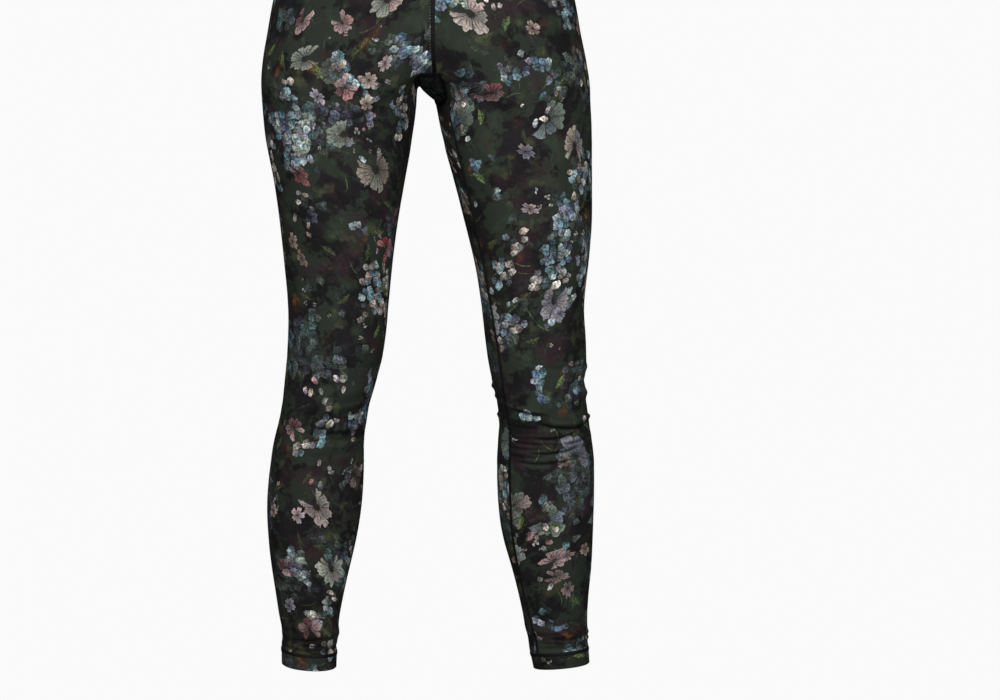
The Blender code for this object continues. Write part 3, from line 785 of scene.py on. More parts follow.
# ---- legs ----
def leg_point(name, height, column):
    """A point of a leg, and its angle in degrees from the outer side towards the back."""
    leg = row_at(LEGS[name], height)
    profile = row_at(PROFILES, height)
    angle = 360 * (column - SIDE_COLUMN + GUSSET_COLUMNS) / LEG_COLUMNS
    inward = (1 - math.cos(math.radians(angle))) / 2
    angle += leg.side_turn * (1 - inward) + leg.inseam_turn * inward
    outline = Outline(leg.width, profile, LEG_POWER)
    x, y = outline.at(outline.side + outline.length * angle / 360)
    return np.array([SIDES[name] * (x + leg.centre), y + profile.widest, height]), angle


def crotch_point(name, top, column, share):
    """A point this share of the way from the leg's top, which isn't level, to its first level
    ring. What the top differs from the leg's own form fades out on the way down."""
    height = top[2] + (ROUND_LEG - top[2]) * share
    own_top, own = (leg_point(name, level, column)[0] for level in (top[2], height))
    return own + (top - own_top) * (1 - share) ** CROTCH_FADE


def leg_rings(name, top):
    """Every ring of a leg below its top: its height, its points and how freely they move."""
    columns = range(LEG_COLUMNS)
    for step in range(1, CROTCH_STEPS + 1):
        share = step / CROTCH_STEPS
        hold = 1.0 if share < 1 else ROUND_HOLD
        yield ROUND_LEG, [crotch_point(name, top[column], column, share) for column in columns], hold
    for height in ring_heights(LEG_RINGS)[1:]:
        yield height, [leg_point(name, height, column)[0] for column in columns], 0.0


def add_leg(skin, name, crotch, gusset_side):
    """From the crotch and the gusset's edge down to the hem.

    Columns are counted from the gusset's front end, and rings start at the inseam."""
    outer = crotch[GUSSET_COLUMNS:-GUSSET_COLUMNS]
    numbers = gusset_side[GUSSET_MIDDLE:0:-1] + outer + gusset_side[-2 : GUSSET_MIDDLE - 1 : -1]
    upper = skin.ring(numbers, LEG_SIDE_COLUMN)
    top = [skin.points[number] for number in numbers[GUSSET_MIDDLE:-1] + numbers[:GUSSET_MIDDLE]]
    for height, points, hold in leg_rings(name, top):
        numbers = []
        for column, point in enumerate(points):
            angle = math.radians(leg_point(name, height, column)[1])
            turn = (math.cos(angle), math.sin(angle), SIDES[name])
            numbers.append(skin.add(point, hold, turn))
        lower = skin.ring(numbers[-GUSSET_MIDDLE:] + numbers[: 1 - GUSSET_MIDDLE], LEG_SIDE_COLUMN)
        whole = f"hem_band_{name}" if height < HEM_SEAM - SEAM_GAP else None
        skin.band(upper, lower, name, LEG_SIDE_COLUMN, whole)
        upper = lower


# ---- shaping the skin ----
def relax(skin):
    """Smooths the cloth round the crotch, as a stretched knit pulls itself smooth.

    Each round draws the points in and lets them out again, so that the form isn't thinned.
    They move mostly along their normals, so that the seams keep their places."""
    points = np.array(skin.points)
    faces = np.array([face for _, face, _ in skin.faces])
    pairs = np.unique(edges_of(faces)[2], axis=0)
    pairs = np.concatenate([pairs, pairs[:, ::-1]])
    counts = np.bincount(pairs[:, 0])[:, None]
    near = smooth(RELAX_FULL * (1 - abs(points[:, 0]) / RELAX_REACH))
    below = smooth((RELAX_TOP - points[:, 2]) / RELAX_FADE)
    free = (near * below * skin.holds)[:, None]
    for step in (RELAX_STEP, RELAX_RETURN) * RELAX_ROUNDS:
        normals = normals_of(points, faces)
        away = np.zeros_like(points)
        np.add.at(away, pairs[:, 0], points[pairs[:, 1]])
        away = away / counts - points
        outward = normals * (away * normals).sum(axis=1, keepdims=True)
        points += step * free * (outward + RELAX_SLIDE * (away - outward))
    skin.points = points


def make_skin():
    skin = Skin()
    crotch = add_hips(skin)
    gusset_sides = add_gusset(skin, crotch)
    for name in SIDES:
        add_leg(skin, name, crotch[name], gusset_sides[name])
    relax(skin)
    return skin


# ---- fine cloth ----
def read_array(items, name, width, kind=float):
    found = np.zeros(len(items) * width, kind)
    items.foreach_get(name, found)
    return found.reshape(-1, width)


class Cloth:
    """The fine outer face of the whole garment, as arrays."""

    def __init__(self, skin):
        self.names = sorted({piece for piece, _, _ in skin.faces})
        mesh = subdivided(coarse_mesh(skin, self.names), skin.points)
        self.points = read_array(mesh.vertices, "co", 3)
        self.faces = read_array(mesh.loops, "vertex_index", 1, int).reshape(-1, 4)
        self.piece = read_array(mesh.attributes["piece"].data, "value", 1, int).ravel()
        self.flat = read_array(mesh.uv_layers["flat"].data, "uv", 2).reshape(-1, 4, 2)
        across, along, self.side = read_array(mesh.attributes["turn"].data, "vector", 3).T
        self.turn = np.arctan2(along, across)
        self.levels = self.points[:, 2].copy()
        # Shade painted at each point for lying in a steep crease, from 0 to 1.
        self.valleys = np.zeros(len(self.points))


def coarse_mesh(skin, names):
    """The skin as a mesh that carries each face's piece and place on the flat cloth."""
    mesh = bpy.data.meshes.new("coarse_skin")
    mesh.from_pydata(skin.points.tolist(), [], [face for _, face, _ in skin.faces])
    flat = []
    for piece, face, ways in skin.faces:
        for number, way in zip(face, ways):
            _, y, z = skin.points[number]
            flat += [way, -y if piece == "gusset" else z]
    mesh.uv_layers.new(name="flat").data.foreach_set("uv", flat)
    piece = mesh.attributes.new("piece", "INT", "FACE")
    piece.data.foreach_set("value", [names.index(name) for name, _, _ in skin.faces])
    turn = mesh.attributes.new("turn", "FLOAT_VECTOR", "POINT")
    turn.data.foreach_set("vector", np.ravel(skin.turns))
    return mesh


def finer_mesh(obj, control):
    """What the object's modifier makes of these coarse points."""
    obj.data.vertices.foreach_set("co", control.ravel())
    obj.data.update()
    bpy.context.view_layer.update()
    graph = bpy.context.evaluated_depsgraph_get()
    graph.update()
    return bpy.data.meshes.new_from_object(obj.evaluated_get(graph))


def subdivided(mesh, targets):
    """The mesh divided finer, so that its smooth face passes through the coarse points."""
    control = targets.copy()
    obj = new_object("coarse_skin", mesh)
    modifier = obj.modifiers.new("finer", "SUBSURF")
    modifier.levels = modifier.render_levels = CLOTH_LEVELS
    modifier.uv_smooth = "PRESERVE_BOUNDARIES"
    for _ in range(FIT_ROUNDS):
        fine = finer_mesh(obj, control)
        control += targets - read_array(fine.vertices, "co", 3)[: len(targets)]
        bpy.data.meshes.remove(fine)
    fine = finer_mesh(obj, control)
    bpy.data.objects.remove(obj)
    return fine


def fold_lifts(cloth):
    """How far the folds lift the cloth at each of its points. Steep creases also set the painted shade in
    their valleys.
    """
    lifts = np.zeros(len(cloth.points))
    turn = np.degrees(cloth.turn)
    for name, rows in FOLDS.items():
        onside = smooth(cloth.side * SIDES[name])
        for fold in map(Fold._make, rows):
            share = ((turn - fold.angle + 180) % 360 - 180) / fold.reach
            middle = fold.height - fold.tilt * share - fold.sag * (1 - share * share)
            across = bump((cloth.points[:, 2] - middle) / fold.half)
            shape = onside * smooth(FOLD_ENDS * (1 - abs(share))) * across
            lifts += fold.rise * shape
            # Painted shade, strongest in steep narrow creases.
            steepness = min(max(-fold.rise / fold.half, 0), 1)
            cloth.valleys = np.maximum(cloth.valleys, steepness * shape * shape)
    return lifts


def ripple_lifts(cloth):
    """Faint unevenness of a worn knit: most round the knees and ankles, a little elsewhere."""
    depth = RIPPLE_REST
    for bunch in RIPPLE_BUNCHES:
        depth = depth + bunch.depth * bump((cloth.points[:, 2] - bunch.height) / bunch.half)
    return depth * [noise.noise(Vector(place)) for place in cloth.points / RIPPLE_SIZE]


def hem_rises(cloth):
    """How far each point goes up as the hems slant."""
    rises = np.zeros(len(cloth.points))
    for name, (level, outer, front) in HEM_RISES.items():
        onside = cloth.side * SIDES[name] > 0.5
        rises += onside * (level + outer * np.cos(cloth.turn) - front * np.sin(cloth.turn))
    return rises * smooth((HEM_RISE_TOP - cloth.points[:, 2]) / HEM_RISE_FADE)


def crease(cloth):
    lifts = fold_lifts(cloth) + ripple_lifts(cloth)
    cloth.points += normals_of(cloth.points, cloth.faces) * lifts[:, None]
    cloth.points[:, 2] += hem_rises(cloth)


# ---- cloth pieces ----
def border_of(faces):
    """The edges that only one face uses, as arrays of face, start and end."""
    starts, ends, keys = edges_of(faces)
    owners = np.repeat(np.arange(len(faces)), 4)
    _, index, counts = np.unique(keys, axis=0, return_inverse=True, return_counts=True)
    lonely = counts[index.ravel()] == 1
    return owners[lonely], starts[lonely], ends[lonely]


def border_moves(points, faces, border):
    """The direction inward along the cloth, for the points on a piece's border."""
    owners, starts, ends = border
    a, b, c, d = (points[faces[owners][:, n]] for n in range(4))
    inward = unit(np.cross(np.cross(c - a, d - b), points[ends] - points[starts]))
    moves = np.zeros_like(points)
    for numbers in (starts, ends):
        np.add.at(moves, numbers, inward)
    moves[starts] = unit(moves[starts])
    return moves


def wall_points(points, normals, levels, inward, rim, wall):
    """A wall's outer face, its inner face and the middle of its rim, which bulges where it is
    an open edge. The whole is drawn in by half a seam gap."""
    outer = points + inward * SEAM_GAP / 2
    inner = outer - normals * wall
    open_edge = (levels > WAIST_TOP - EDGE_NEAR) | (levels < HEM_EDGE + EDGE_NEAR)
    middle = (outer + inner) / 2 - inward * (open_edge * wall * EDGE_SWELL)[:, None]
    return np.concatenate([outer, inner, middle[rim]])


def wall_faces(faces, border, rim, count):
    """The faces of a wall: outer, inner, and the outer and inner half of its rim."""
    _, starts, ends = border
    place = np.full(count, -1)
    place[rim] = np.arange(len(rim)) + 2 * count
    upper = np.stack([ends, starts, place[starts], place[ends]], axis=1)
    lower = np.stack([place[ends], place[starts], starts + count, ends + count], axis=1)
    return [faces, faces[:, ::-1] + count, upper, lower]


def wall_places(flat, faces, border):
    """Where the corners of those faces lie on the flat cloth."""
    owners, starts, _ = border
    corner = (faces[owners] == starts[:, None]).argmax(axis=1)
    start, end = flat[owners, corner], flat[owners, (corner + 1) % 4]
    edge = np.stack([end, start, start, end], axis=1)
    return np.concatenate([flat, flat[:, ::-1], edge, edge])


def make_shell(cloth, normals, piece, wall, materials):
    """One piece as a thin wall. The inside has its own material."""
    own = cloth.piece == cloth.names.index(piece)
    numbers, faces = np.unique(cloth.faces[own], return_inverse=True)
    faces = faces.reshape(-1, 4)
    border = border_of(faces)
    rim = np.unique(border[1])
    points = cloth.points[numbers]
    inward = border_moves(points, faces, border)
    points = wall_points(points, normals[numbers], cloth.levels[numbers], inward, rim, wall)
    sides = wall_faces(faces, border, rim, len(numbers))
    mesh = bpy.data.meshes.new(piece)
    mesh.from_pydata((points * MM).tolist(), [], np.concatenate(sides).tolist())
    flat = cloth.flat[own] * MM + (CUTS[piece].shift_u, CUTS[piece].shift_v)
    layer = mesh.uv_layers.new(name="flat")
    layer.data.foreach_set("uv", wall_places(flat, faces, border).ravel())
    # Each point's painted crease shade, which darkens the colour in the shader.
    valleys = cloth.valleys[np.concatenate([numbers, numbers, numbers[rim]])]
    mesh.attributes.new("valley", "FLOAT", "POINT").data.foreach_set("value", valleys)
    slots = np.repeat([0, 1, 0, 1], [len(part) for part in sides])
    mesh.polygons.foreach_set("material_index", slots)
    mesh.shade_smooth()
    for material in materials:
        mesh.materials.append(material)
    return new_object(piece + "_cloth", mesh)


# ---- sewing ----
class Path:
    """A line along the cloth, read by distance: place, outward direction and the way across."""

    def __init__(self, points, normals, closed):
        if closed:
            points, normals = (np.concatenate([rows, rows[:1]]) for rows in (points, normals))
        self.closed = closed
        self.points = points
        self.normals = normals
        self.ways = ways_along(points)
        self.length = self.ways[-1]

    def read(self, rows, ways):
        ways = ways % self.length if self.closed else np.clip(ways, 0, self.length)
        return along_line(rows, self.ways, ways)

    def frames(self, ways):
        """Place, outward and across at each of these distances."""
        before, after = (self.read(self.points, ways + step) for step in (-PATH_STEP, PATH_STEP))
        along = unit(after - before)
        outward = self.read(self.normals, ways)
        outward = unit(outward - along * (along * outward).sum(axis=1, keepdims=True))
        return self.read(self.points, ways), outward, np.cross(along, outward)

    def offset(self, ways, across, up):
        """Points this far across the line and up from the cloth, and their outward directions."""
        places, outward, sideways = self.frames(ways)
        return places + sideways * np.reshape(across, (-1, 1)) + outward * np.reshape(up, (-1, 1)), outward

    def steps(self, amount):
        """The ends of this many equal steps along the line."""
        open_end = not self.closed
        return np.linspace(0, self.length, amount + open_end, endpoint=open_end)


def seam_edges(cloth):
    """Every edge between two pieces: its points and both pieces' names."""
    found = {}
    keys = edges_of(cloth.faces)[2].tolist()
    for (a, b), piece in zip(keys, np.repeat(cloth.piece, 4)):
        found.setdefault((a, b), set()).add(cloth.names[piece])
    return [(a, b, pieces) for (a, b), pieces in found.items() if len(pieces) > 1]


def chains(edges):
    """Joins edges into lines of point numbers. Returns each line and whether it closes."""
    joined = {}
    for a, b in edges:
        joined.setdefault(a, []).append(b)
        joined.setdefault(b, []).append(a)
    found = []
    left = set(joined)
    while left:
        ends = [number for number in left if len(joined[number]) == 1]
        onward = [min(ends or left)]
        line = []
        while onward:
            line.append(min(onward))
            left.discard(line[-1])
            onward = [number for number in joined[line[-1]] if number in left]
        found.append((line, not ends))
    return found


def seam_path(cloth, normals, edges, row):
    """The path of one seam, the row's choice among those of its pieces from the top down."""
    paths = []
    for numbers, closed in chains([(a, b) for a, b, pieces in edges if set(row.pieces) <= pieces]):
        points = cloth.points[numbers].copy()
        for _ in range(PATH_SMOOTHING):
            middle = (np.roll(points, 1, axis=0) + np.roll(points, -1, axis=0)) / 2
            if not closed:
                middle[0], middle[-1] = points[0], points[-1]
            points += (middle - points) / 2
        path = Path(points, normals[numbers], closed)
        rising = path.frames(np.zeros(1))[2][0, 2] < 0 if closed else points[0, 2] < points[-1, 2]
        if rising:
            path = Path(points[::-1], normals[numbers[::-1]], closed)
        paths.append(path)
    return sorted(paths, key=lambda path: -path.points[0, 2])[row.which]


class Solid:
    """Points and faces of many small closed forms, joined into one mesh."""

    def __init__(self):
        self.points = []
        self.faces = []

    def tube(self, points, across, outward, section, sizes=1.0, closed=False):
        """A section along a line of points, with its ends filled unless the line closes."""
        x, y = np.transpose(section)[:, None, :, None]
        rings = across[:, None] * x + outward[:, None] * y
        rings = points[:, None] + rings * np.reshape(sizes, (-1, 1, 1))
        number = np.arange(rings.size // 3).reshape(rings.shape[:2]) + len(self.points)
        here, onward = (number, np.roll(number, -1, axis=0)) if closed else (number[:-1], number[1:])
        quads = [here, np.roll(here, -1, axis=1), np.roll(onward, -1, axis=1), onward]
        self.faces += np.stack(quads, axis=2).reshape(-1, 4).tolist()
        if not closed:
            self.faces += [number[0, ::-1].tolist(), number[-1].tolist()]
        self.points += rings.reshape(-1, 3).tolist()

    def thread(self, points, outward, radii):
        """A thread of these radii through points that lie along the cloth."""
        across = np.cross(unit(np.gradient(points, axis=0)), outward)
        self.tube(points, across, outward, THREAD_SECTION, radii)

    def stitches(self, path, across, up, pitch, length, radius):
        """A row of single stitches, this far across the path and up from the cloth."""
        for n in range(int(path.length / pitch)):
            ways = (n + 0.5) * pitch + length * STITCH_SHARES
            points, outward = path.offset(ways, across, up + radius * STITCH_RISES)
            self.thread(points, outward, radius * STITCH_SWELLS)

    def build(self, name, material):
        mesh = bpy.data.meshes.new(name)
        mesh.from_pydata((np.array(self.points) * MM).tolist(), [], self.faces)
        mesh.shade_smooth()
        mesh.materials.append(material)
        return new_object(name, mesh)


def add_tape(solid, path, row):
    """The seam's flat covering."""
    half, high = row.width / 2, row.height
    section = [(-half, -TAPE_SINK), (half, -TAPE_SINK), (half, high / 2)]
    section += [(half * TAPE_TOP, high), (-half * TAPE_TOP, high), (-half, high / 2)]
    points, outward, across = path.frames(path.steps(max(int(path.length / TAPE_STEP), 3)))
    solid.tube(points, across, outward, section, closed=path.closed)


def add_zigzag(solid, path, row):
    """The thread that crosses from side to side over the seam."""
    ways = path.steps(2 * max(int(path.length / row.pitch), 4))
    across = (1 - np.arange(len(ways)) % 2 * 2) * row.width * ZIGZAG_SHARE / 2
    points, outward = path.offset(ways, across, row.height + THREAD_RADIUS * THREAD_SEAT)
    if path.closed:
        points, outward = (np.concatenate([rows, rows[:1]]) for rows in (points, outward))
    solid.thread(points, outward, THREAD_RADIUS)


def sew(cloth, normals, edges, row, materials):
    """One seam's covering with its threads, and its needle stitches, painted pale as highlight, if they
    show.
    """
    path = seam_path(cloth, normals, edges, row)
    solid = Solid()
    add_tape(solid, path, row)
    add_zigzag(solid, path, row)
    for side in (-1, 1):
        across = side * row.width * ROW_SHARE
        solid.stitches(path, across, row.height, ROW_PITCH, ROW_STITCH, THREAD_RADIUS)
    made = [solid.build("sewing_" + row.name, materials["thread"])]
    if row.dots:
        dots = Solid()
        dots.stitches(path, row.dots.across, 0, row.dots.pitch, DOT_STITCH, DOT_RADIUS)
        made.append(dots.build("needle_" + row.name, materials[row.dots.paint]))
    return made


# ---- shader maths ----
def paint(name):
    """A named paint as linear light."""
    def linear(value):
        return value / 12.92 if value <= 0.04045 else ((value + 0.055) / 1.055) ** 2.4

    return (*(linear(value / 255) for value in PAINTS[name]), 1)


def outputs(tree, kind, inputs, **settings):
    """The outputs of a new node, whose inputs are numbers or other nodes' outputs."""
    node = tree.nodes.new("ShaderNode" + kind)
    for name, value in settings.items():
        setattr(node, name, value)
    for key, value in inputs.items():
        if isinstance(value, Value):
            tree.links.new(value.socket, node.inputs[key])
        else:
            node.inputs[key].default_value = value
    return [Value(socket) for socket in node.outputs]


class Value:
    """A node's output: a number, or a vector or colour. Sums with it add the nodes for them."""

    def __init__(self, socket):
        self.socket = socket

    def node(self, kind, inputs, **settings):
        return outputs(self.socket.id_data, kind, inputs, **settings)

    def maths(self, operation, *others):
        kind = "Math" if self.socket.type == "VALUE" else "VectorMath"
        return self.node(kind, dict(enumerate((self, *others))), operation=operation)[0]

    __add__ = partialmethod(maths, "ADD")
    __sub__ = partialmethod(maths, "SUBTRACT")
    __truediv__ = partialmethod(maths, "DIVIDE")
    __pow__ = partialmethod(maths, "POWER")
    __abs__ = partialmethod(maths, "ABSOLUTE")

    def __rsub__(self, number):
        return self.maths("MULTIPLY_ADD", -1, number)

    def __mul__(self, other):
        if self.socket.type == "VALUE":
            return self.maths("MULTIPLY", other)
        return self.node("VectorMath", {0: self, "Scale": other}, operation="SCALE")[0]

    def split(self):
        return self.node("SeparateXYZ", {0: self})

    def fade(self, low, high):
        """0 at low and 1 at high, smooth between. High may be the smaller."""
        inputs = {"Value": self, "From Min": low, "From Max": high}
        return self.node("MapRange", inputs, interpolation_type="SMOOTHSTEP")[0]

    def between(self, low, high):
        """Low where this is 0, high where it is 1."""
        return self.maths("MULTIPLY_ADD", high - low, low)

    def noise(self, size, detail=1, rough=0.5, output=0):
        inputs = {"Vector": self, "Scale": 1 / size, "Detail": detail, "Roughness": rough}
        return self.node("TexNoise", inputs, noise_dimensions="2D")[output]

    def over(self, below, above):
        """A colour laid over another by this share."""
        return self.node("Mix", {0: self, 6: below, 7: above}, data_type="RGBA")[2]

    def ramp(self, names):
        """Blends evenly from paint to paint."""
        names = names.split()
        found = self.node("ValToRGB", {0: self})[0]
        elements = found.socket.node.color_ramp.elements
        while len(elements) < len(names):
            elements.new(1)
        for n, name in enumerate(names):
            elements[n].position = n / (len(names) - 1)
            elements[n].color = paint(name)
        return found


def join(x, y):
    return x.node("CombineXYZ", {0: x, 1: y})[0]


def length(x, y):
    place = join(x, y)
    return place.node("VectorMath", {0: place}, operation="LENGTH")[1]


# ---- print ----
def ground(place):
    """The dark mottled ground: moss over aubergine with ragged edges, and a few warm glows."""
    ragged = (place + RAGGED_SHIFT).noise(*MOSS_RAGGED)
    moss = place.noise(*MOSS_BROAD) * MOSS_SHARES[0] + ragged * MOSS_SHARES[1]
    deep = (place + DEEP_SHIFT).noise(*DEEP_NOISE)
    colour = deep.fade(*DEEP_EDGE).over(paint("night"), paint("aubergine"))
    colour = moss.fade(*MOSS_EDGE).over(colour, paint("moss"))
    for row in GROUND_SPOTS:
        spot = (place + (row.shift, -row.shift * SPOT_SLANT, 0)).noise(row.size, SPOT_DETAIL)
        colour = (spot.fade(row.low, row.high) * row.most).over(colour, paint(row.paint))
    return colour


def cell_of(place, row):
    """One cell of a scattered layer: how far from its middle, across and up after a turn by
    chance, where its middle is, and three draws."""
    scaled = place * (1 / row.spacing) + row.seed * CELL_SHIFT
    inputs = {"Vector": scaled, "Scale": 1, "Randomness": row.scatter}
    cell = scaled.node("TexVoronoi", inputs, voronoi_dimensions="2D", feature="F1")
    draws, middle = cell[1].split(), cell[2]
    inputs = {"Vector": (scaled - middle) * row.spacing, "Angle": draws[0] * (2 * math.pi)}
    x, y, _ = scaled.node("VectorRotate", inputs, rotation_type="Z_AXIS")[0].split()
    return x, y, middle * row.spacing, draws


def grows(middle, draw, row, loose):
    """1 in the cells that grow something: in beds that all layers share, and in patches that
    only layers with the same whole seed share."""
    own = (middle + int(row.seed) * PATCH_SHIFT).noise(row.patch)
    share = (middle.noise(BED_SIZE) + own) * 0.5 + draw * loose
    level = GROW_LEVEL + loose / 2 + (0.5 - row.kept) * GROW_SLOPE
    return share.fade(level - GROW_EDGE, level + GROW_EDGE)


def add_petals(place, dapple, below, row):
    """Single petals, each lit from its tip to a dark root."""
    x, y, middle, draws = cell_of(place, row)
    size = draws[2].between(*PETAL_SIZES)
    x, y = x / (size * row.long), y / (size * row.wide)
    ruffle = place.noise(*PETAL_RUFFLE) - 0.5
    inside = 1 - length(x, y) + ruffle * 0.5
    here = grows(middle, draws[1], row, HEAD_LOOSENESS)
    here = here * draws[2].between(row.opacity * PETAL_FAINTEST, row.opacity)
    below = (here * inside.fade(*PETAL_SHADOW_REACH)).over(below, below * PETAL_SHADOW)
    mood = middle.noise(row.patch * 0.5) + draws[0] * 0.35
    streak = (y * 7 + ruffle * 6).maths("SINE").fade(0.4, 1.0)
    light = x.fade(-1.0, 0.8).between(*PETAL_LIGHT) * draws[2].between(*PETAL_SHADES)
    light = light * streak.between(1, PETAL_STREAK) * dapple
    colour = mood.fade(0.30, 1.0).ramp(row.paints) * light
    return (here * inside.fade(0, 0.14)).over(below, colour)


def flower_edge(row, aside, petal, ruffle):
    """How far out a flower's petals reach: round, pinched where they meet, notched, ruffled."""
    shape = 1 - aside**2.6 * (1 - row.waist) - aside.fade(0.32, 0) * row.notch + ruffle * row.ruffle
    return shape * petal[0].between(row.reach, row.reach * FLOWER_SMALLEST)


def flower_light(row, across, along, petal, ruffle):
    """Light on its petals: dark at the root, veined, dark where one meets the next."""
    lines = (across * (row.veins * math.pi) + ruffle * 4).maths("SINE")
    vein = lines.fade(0.35, 1.0) * along.fade(1.10, 0.5)
    light = along.between(*FLOWER_LIGHT) * petal[0].between(*FLOWER_SHADES)
    return light * vein.between(*FLOWER_VEIN) * abs(across).fade(0.78, 1.0).between(1, FLOWER_FOLD)


def add_flowers(place, dapple, below, row):
    """Whole or half-open flowers, turned a little from view."""
    x, y, middle, draws = cell_of(place, row)
    y = y * draws[1].between(1, 1 + 2 * row.squash)
    radius = length(x, y)
    turns = (y.maths("ARCTAN2", x) / (2 * math.pi) + 0.5) * row.petals
    across = turns.maths("FRACT") * 2 - 1
    own = join(turns.maths("FLOOR"), draws[2] * DRAW_SHIFT)
    petal = own.node("TexWhiteNoise", {"Vector": own}, noise_dimensions="2D")[1].split()
    ruffle = place.noise(row.reach * RUFFLE_SHARE, *PETAL_RUFFLE[1:]) - 0.5
    edge = flower_edge(row, abs(across), petal, ruffle)
    inside = edge - radius
    here = grows(middle, draws[1], row, FLOWER_LOOSENESS)
    if row.arc < 360:
        limit = math.cos(math.radians(row.arc / 2))
        here = here * (x / radius.maths("MAXIMUM", 0.01)).fade(limit - ARC_EDGE, limit + ARC_EDGE)
    if row.lost > 0:
        here = here * petal[1].maths("GREATER_THAN", row.lost)
    here = here * draws[2].between(row.opacity * FLOWER_FAINTEST, row.opacity)
    below = (here * inside.fade(*FLOWER_SHADOW_REACH)).over(below, below * FLOWER_SHADOW)
    along = radius / edge.maths("MAXIMUM", 0.5)
    light = flower_light(row, across, along, petal, ruffle) * dapple**0.5
    mood = middle.noise(row.patch * 0.6, 0) + petal[2] * 0.25
    colour = mood.fade(0.25, 0.95).ramp(row.paints) * light
    core = row.core * row.reach
    colour = (radius.fade(core * 1.2, core * 0.7) * 0.85).over(colour, paint("heart"))
    return (here * inside.fade(0, 0.5)).over(below, colour)


def add_leaves(place, dapple, below, row):
    x, y, middle, draws = cell_of(place, row)
    y = y - x * x * (0.5 / row.length)
    along = abs(x) / (row.length / 2)
    aside = abs(y)
    inside = (1 - along**1.7) * (row.width / 2) - aside
    here = grows(middle, draws[1], row, FLOWER_LOOSENESS) * row.opacity
    ribs = ((x + aside) * 2.6).maths("SINE").fade(0.3, 1.0)
    light = y.fade(-row.width * 0.2, row.width * 0.2).between(*LEAF_LIGHT)
    colour = draws[2].ramp(row.paints) * (light * ribs.between(1, LEAF_RIB) * dapple)
    colour = (aside.fade(0.45, 0.15) * 0.6).over(colour, colour * 2.0)
    return (here * inside.fade(0, 0.5) * along.fade(1.0, 0.97)).over(below, colour)


def print_group():
    """The whole print as one node group: a place on the flat cloth in, its colour out."""
    tree = bpy.data.node_groups.new("flower_print", "ShaderNodeTree")
    tree.interface.new_socket("Place", in_out="INPUT", socket_type="NodeSocketVector")
    tree.interface.new_socket("Colour", in_out="OUTPUT", socket_type="NodeSocketColor")
    place = Value(tree.nodes.new("NodeGroupInput").outputs[0]) * (1 / MM)
    place = (place.noise(*SWAY_NOISE, output=1) - (0.5, 0.5, 0.5)) * SWAY + place
    dapple = place.noise(*DAPPLE_NOISE).fade(0.34, 0.66).between(DAPPLE_DARK, DAPPLE_LIGHT)
    layers = []
    for add, rows in ((add_flowers, FLOWERS), (add_petals, PETALS), (add_leaves, LEAVES)):
        layers += [(row.seed, add, row) for row in rows]
    colour = ground(place)
    for _, add, row in sorted(layers):
        colour = add(place, dapple, colour, row)
    tree.links.new(colour.socket, tree.nodes.new("NodeGroupOutput").inputs[0])
    return tree


# ---- materials ----
def new_material(name):
    """A material, its node tree and its shader's inputs."""
    material = bpy.data.materials.new(name)
    material.use_nodes = True
    return material, material.node_tree, material.node_tree.nodes["Principled BSDF"].inputs


def cloth_material(name, finish, group):
    """A matt knit, printed to a brightness or in one paint, with shade painted into its deep creases."""
    material, tree, inputs = new_material(name)
    inputs["Roughness"].default_value = finish.roughness
    inputs["Specular IOR Level"].default_value = CLOTH_SPECULAR
    place = outputs(tree, "UVMap", {}, uv_map="flat")[0]
    # Painted shade: the colour is dimmed where the creases are deep.
    valley = outputs(tree, "Attribute", {}, attribute_name="valley")[2]
    shade = valley.between(1, VALLEY_LIGHT)
    if finish.look in PAINTS:
        mottle = place.noise(*PLAIN_MOTTLE).between(*MOTTLE_LIGHT)
        inks = {0: paint(finish.look)[:3], "Scale": mottle}
        colour = outputs(tree, "VectorMath", inks, operation="SCALE")[0] * shade
    else:
        node = tree.nodes.new("ShaderNodeGroup")
        node.node_tree = group
        tree.links.new(place.socket, node.inputs[0])
        colour = Value(node.outputs[0]) * finish.look * shade
    knit = place.noise(finish.knit)
    relief = {"Strength": KNIT_STRENGTH, "Distance": finish.depth, "Height": knit}
    tree.links.new(colour.socket, inputs["Base Color"])
    tree.links.new(outputs(tree, "Bump", relief)[0].socket, inputs["Normal"])
    return material


def thread_material(name):
    material, _, inputs = new_material(name)
    inputs["Base Color"].default_value = paint(name)
    inputs["Roughness"].default_value = THREAD_ROUGHNESS
    inputs["Specular IOR Level"].default_value = THREAD_SPECULAR
    return material


def make_materials():
    group = print_group()
    made = {name: cloth_material(name, finish, group) for name, finish in FINISHES.items()}
    # The needle paints are pale as painted highlight on the thread.
    made.update({name: thread_material(name) for name in ("thread", "needle", "needle_dim")})
    return made


# ---- light, stage and camera ----
def add_lights():
    for row in LIGHTS:
        data = bpy.data.lights.new(row.name, "AREA")
        data.shape = "DISK"
        data.size = row.size
        data.energy = row.watts
        obj = new_object(row.name, data)
        obj.location = row[1:4]
        obj.rotation_euler = (Vector(AIM) - obj.location).to_track_quat("-Z", "Y").to_euler()
    world = bpy.data.worlds.new("room")
    world.use_nodes = True
    world.node_tree.nodes["Background"].inputs["Color"].default_value = (1, 1, 1, 1)
    world.node_tree.nodes["Background"].inputs["Strength"].default_value = WORLD_LIGHT
    bpy.context.scene.world = world


def backdrop_material():
    material = bpy.data.materials.new("backdrop")
    material.use_nodes = True
    tree = material.node_tree
    tree.nodes.clear()
    glow = outputs(tree, "Emission", {"Color": paint("backdrop"), "Strength": 1.0})[0]
    outputs(tree, "OutputMaterial", {"Surface": glow})
    return material


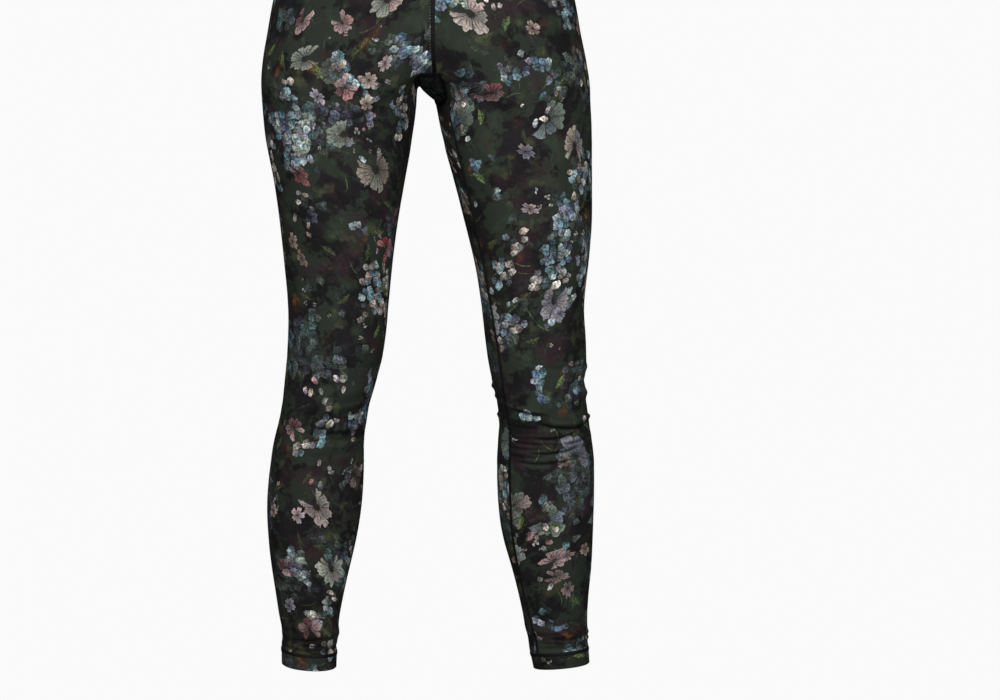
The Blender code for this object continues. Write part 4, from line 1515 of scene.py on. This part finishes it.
def add_stage():
    """A white floor and a white dome that are seen but light nothing."""
    material = backdrop_material()
    place = (0, 0, FLOOR_HEIGHT)
    bpy.ops.mesh.primitive_circle_add(vertices=64, radius=DOME_RADIUS, fill_type="NGON", location=place)
    floor = bpy.context.object
    bpy.ops.mesh.primitive_uv_sphere_add(segments=48, ring_count=24, radius=DOME_RADIUS)
    dome = bpy.context.object
    dome.data.flip_normals()
    for obj, name in ((floor, "floor"), (dome, "dome")):
        obj.name = name
        obj.data.materials.append(material)
        obj.visible_diffuse = False
        obj.visible_glossy = False
        obj.visible_transmission = False
        obj.visible_shadow = False
        obj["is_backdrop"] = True


def add_camera():
    data = bpy.data.cameras.new("camera")
    data.lens = CAMERA_LENS
    data.sensor_width = CAMERA_SENSOR
    data.clip_end = CAMERA_FAR
    obj = new_object("camera", data)
    obj.location = CAMERA_PLACE
    obj.rotation_euler = (math.radians(90 - CAMERA_TILT), 0, 0)
    bpy.context.scene.camera = obj


# ---- the garment ----
def add_cloth(cloth, normals, materials):
    """Every piece of cloth. Returns them by name."""
    made = {}
    for piece, cut in CUTS.items():
        wall = BAND_WALL if "band" in piece else CLOTH_WALL
        obj = make_shell(cloth, normals, piece, wall, [materials[cut.slot], materials["lining"]])
        panel = [f"{piece}_{part}" for part in PANEL_PARTS]
        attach(obj, "root")
        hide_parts(*(panel if cut.slot == "printed_cloth" else [piece]))
        made[piece] = obj
    return made


def add_sewing(cloth, normals, materials):
    """Every seam's threads, by the piece of cloth they are counted with."""
    edges = seam_edges(cloth)
    made = {piece: [] for piece in CUTS}
    for row in SEAMS:
        for obj in sew(cloth, normals, edges, row, materials):
            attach(obj, "root")
            made[row.pieces[0]].append(obj)
    return made


def main():
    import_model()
    solid_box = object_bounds()
    cloth = Cloth(make_skin())
    crease(cloth)
    normals = normals_of(cloth.points, cloth.faces)
    materials = make_materials()
    pieces = add_cloth(cloth, normals, materials)
    sewing = add_sewing(cloth, normals, materials)
    for piece, cut in CUTS.items():
        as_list(sewing[piece])
    add_stage()
    add_lights()
    add_camera()
    bpy.context.scene.view_settings.view_transform = "Standard"
    boxes = {"cad": solid_box, "scene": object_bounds()}
    {name: [list(corner) for corner in box] for name, box in boxes.items()}


main()
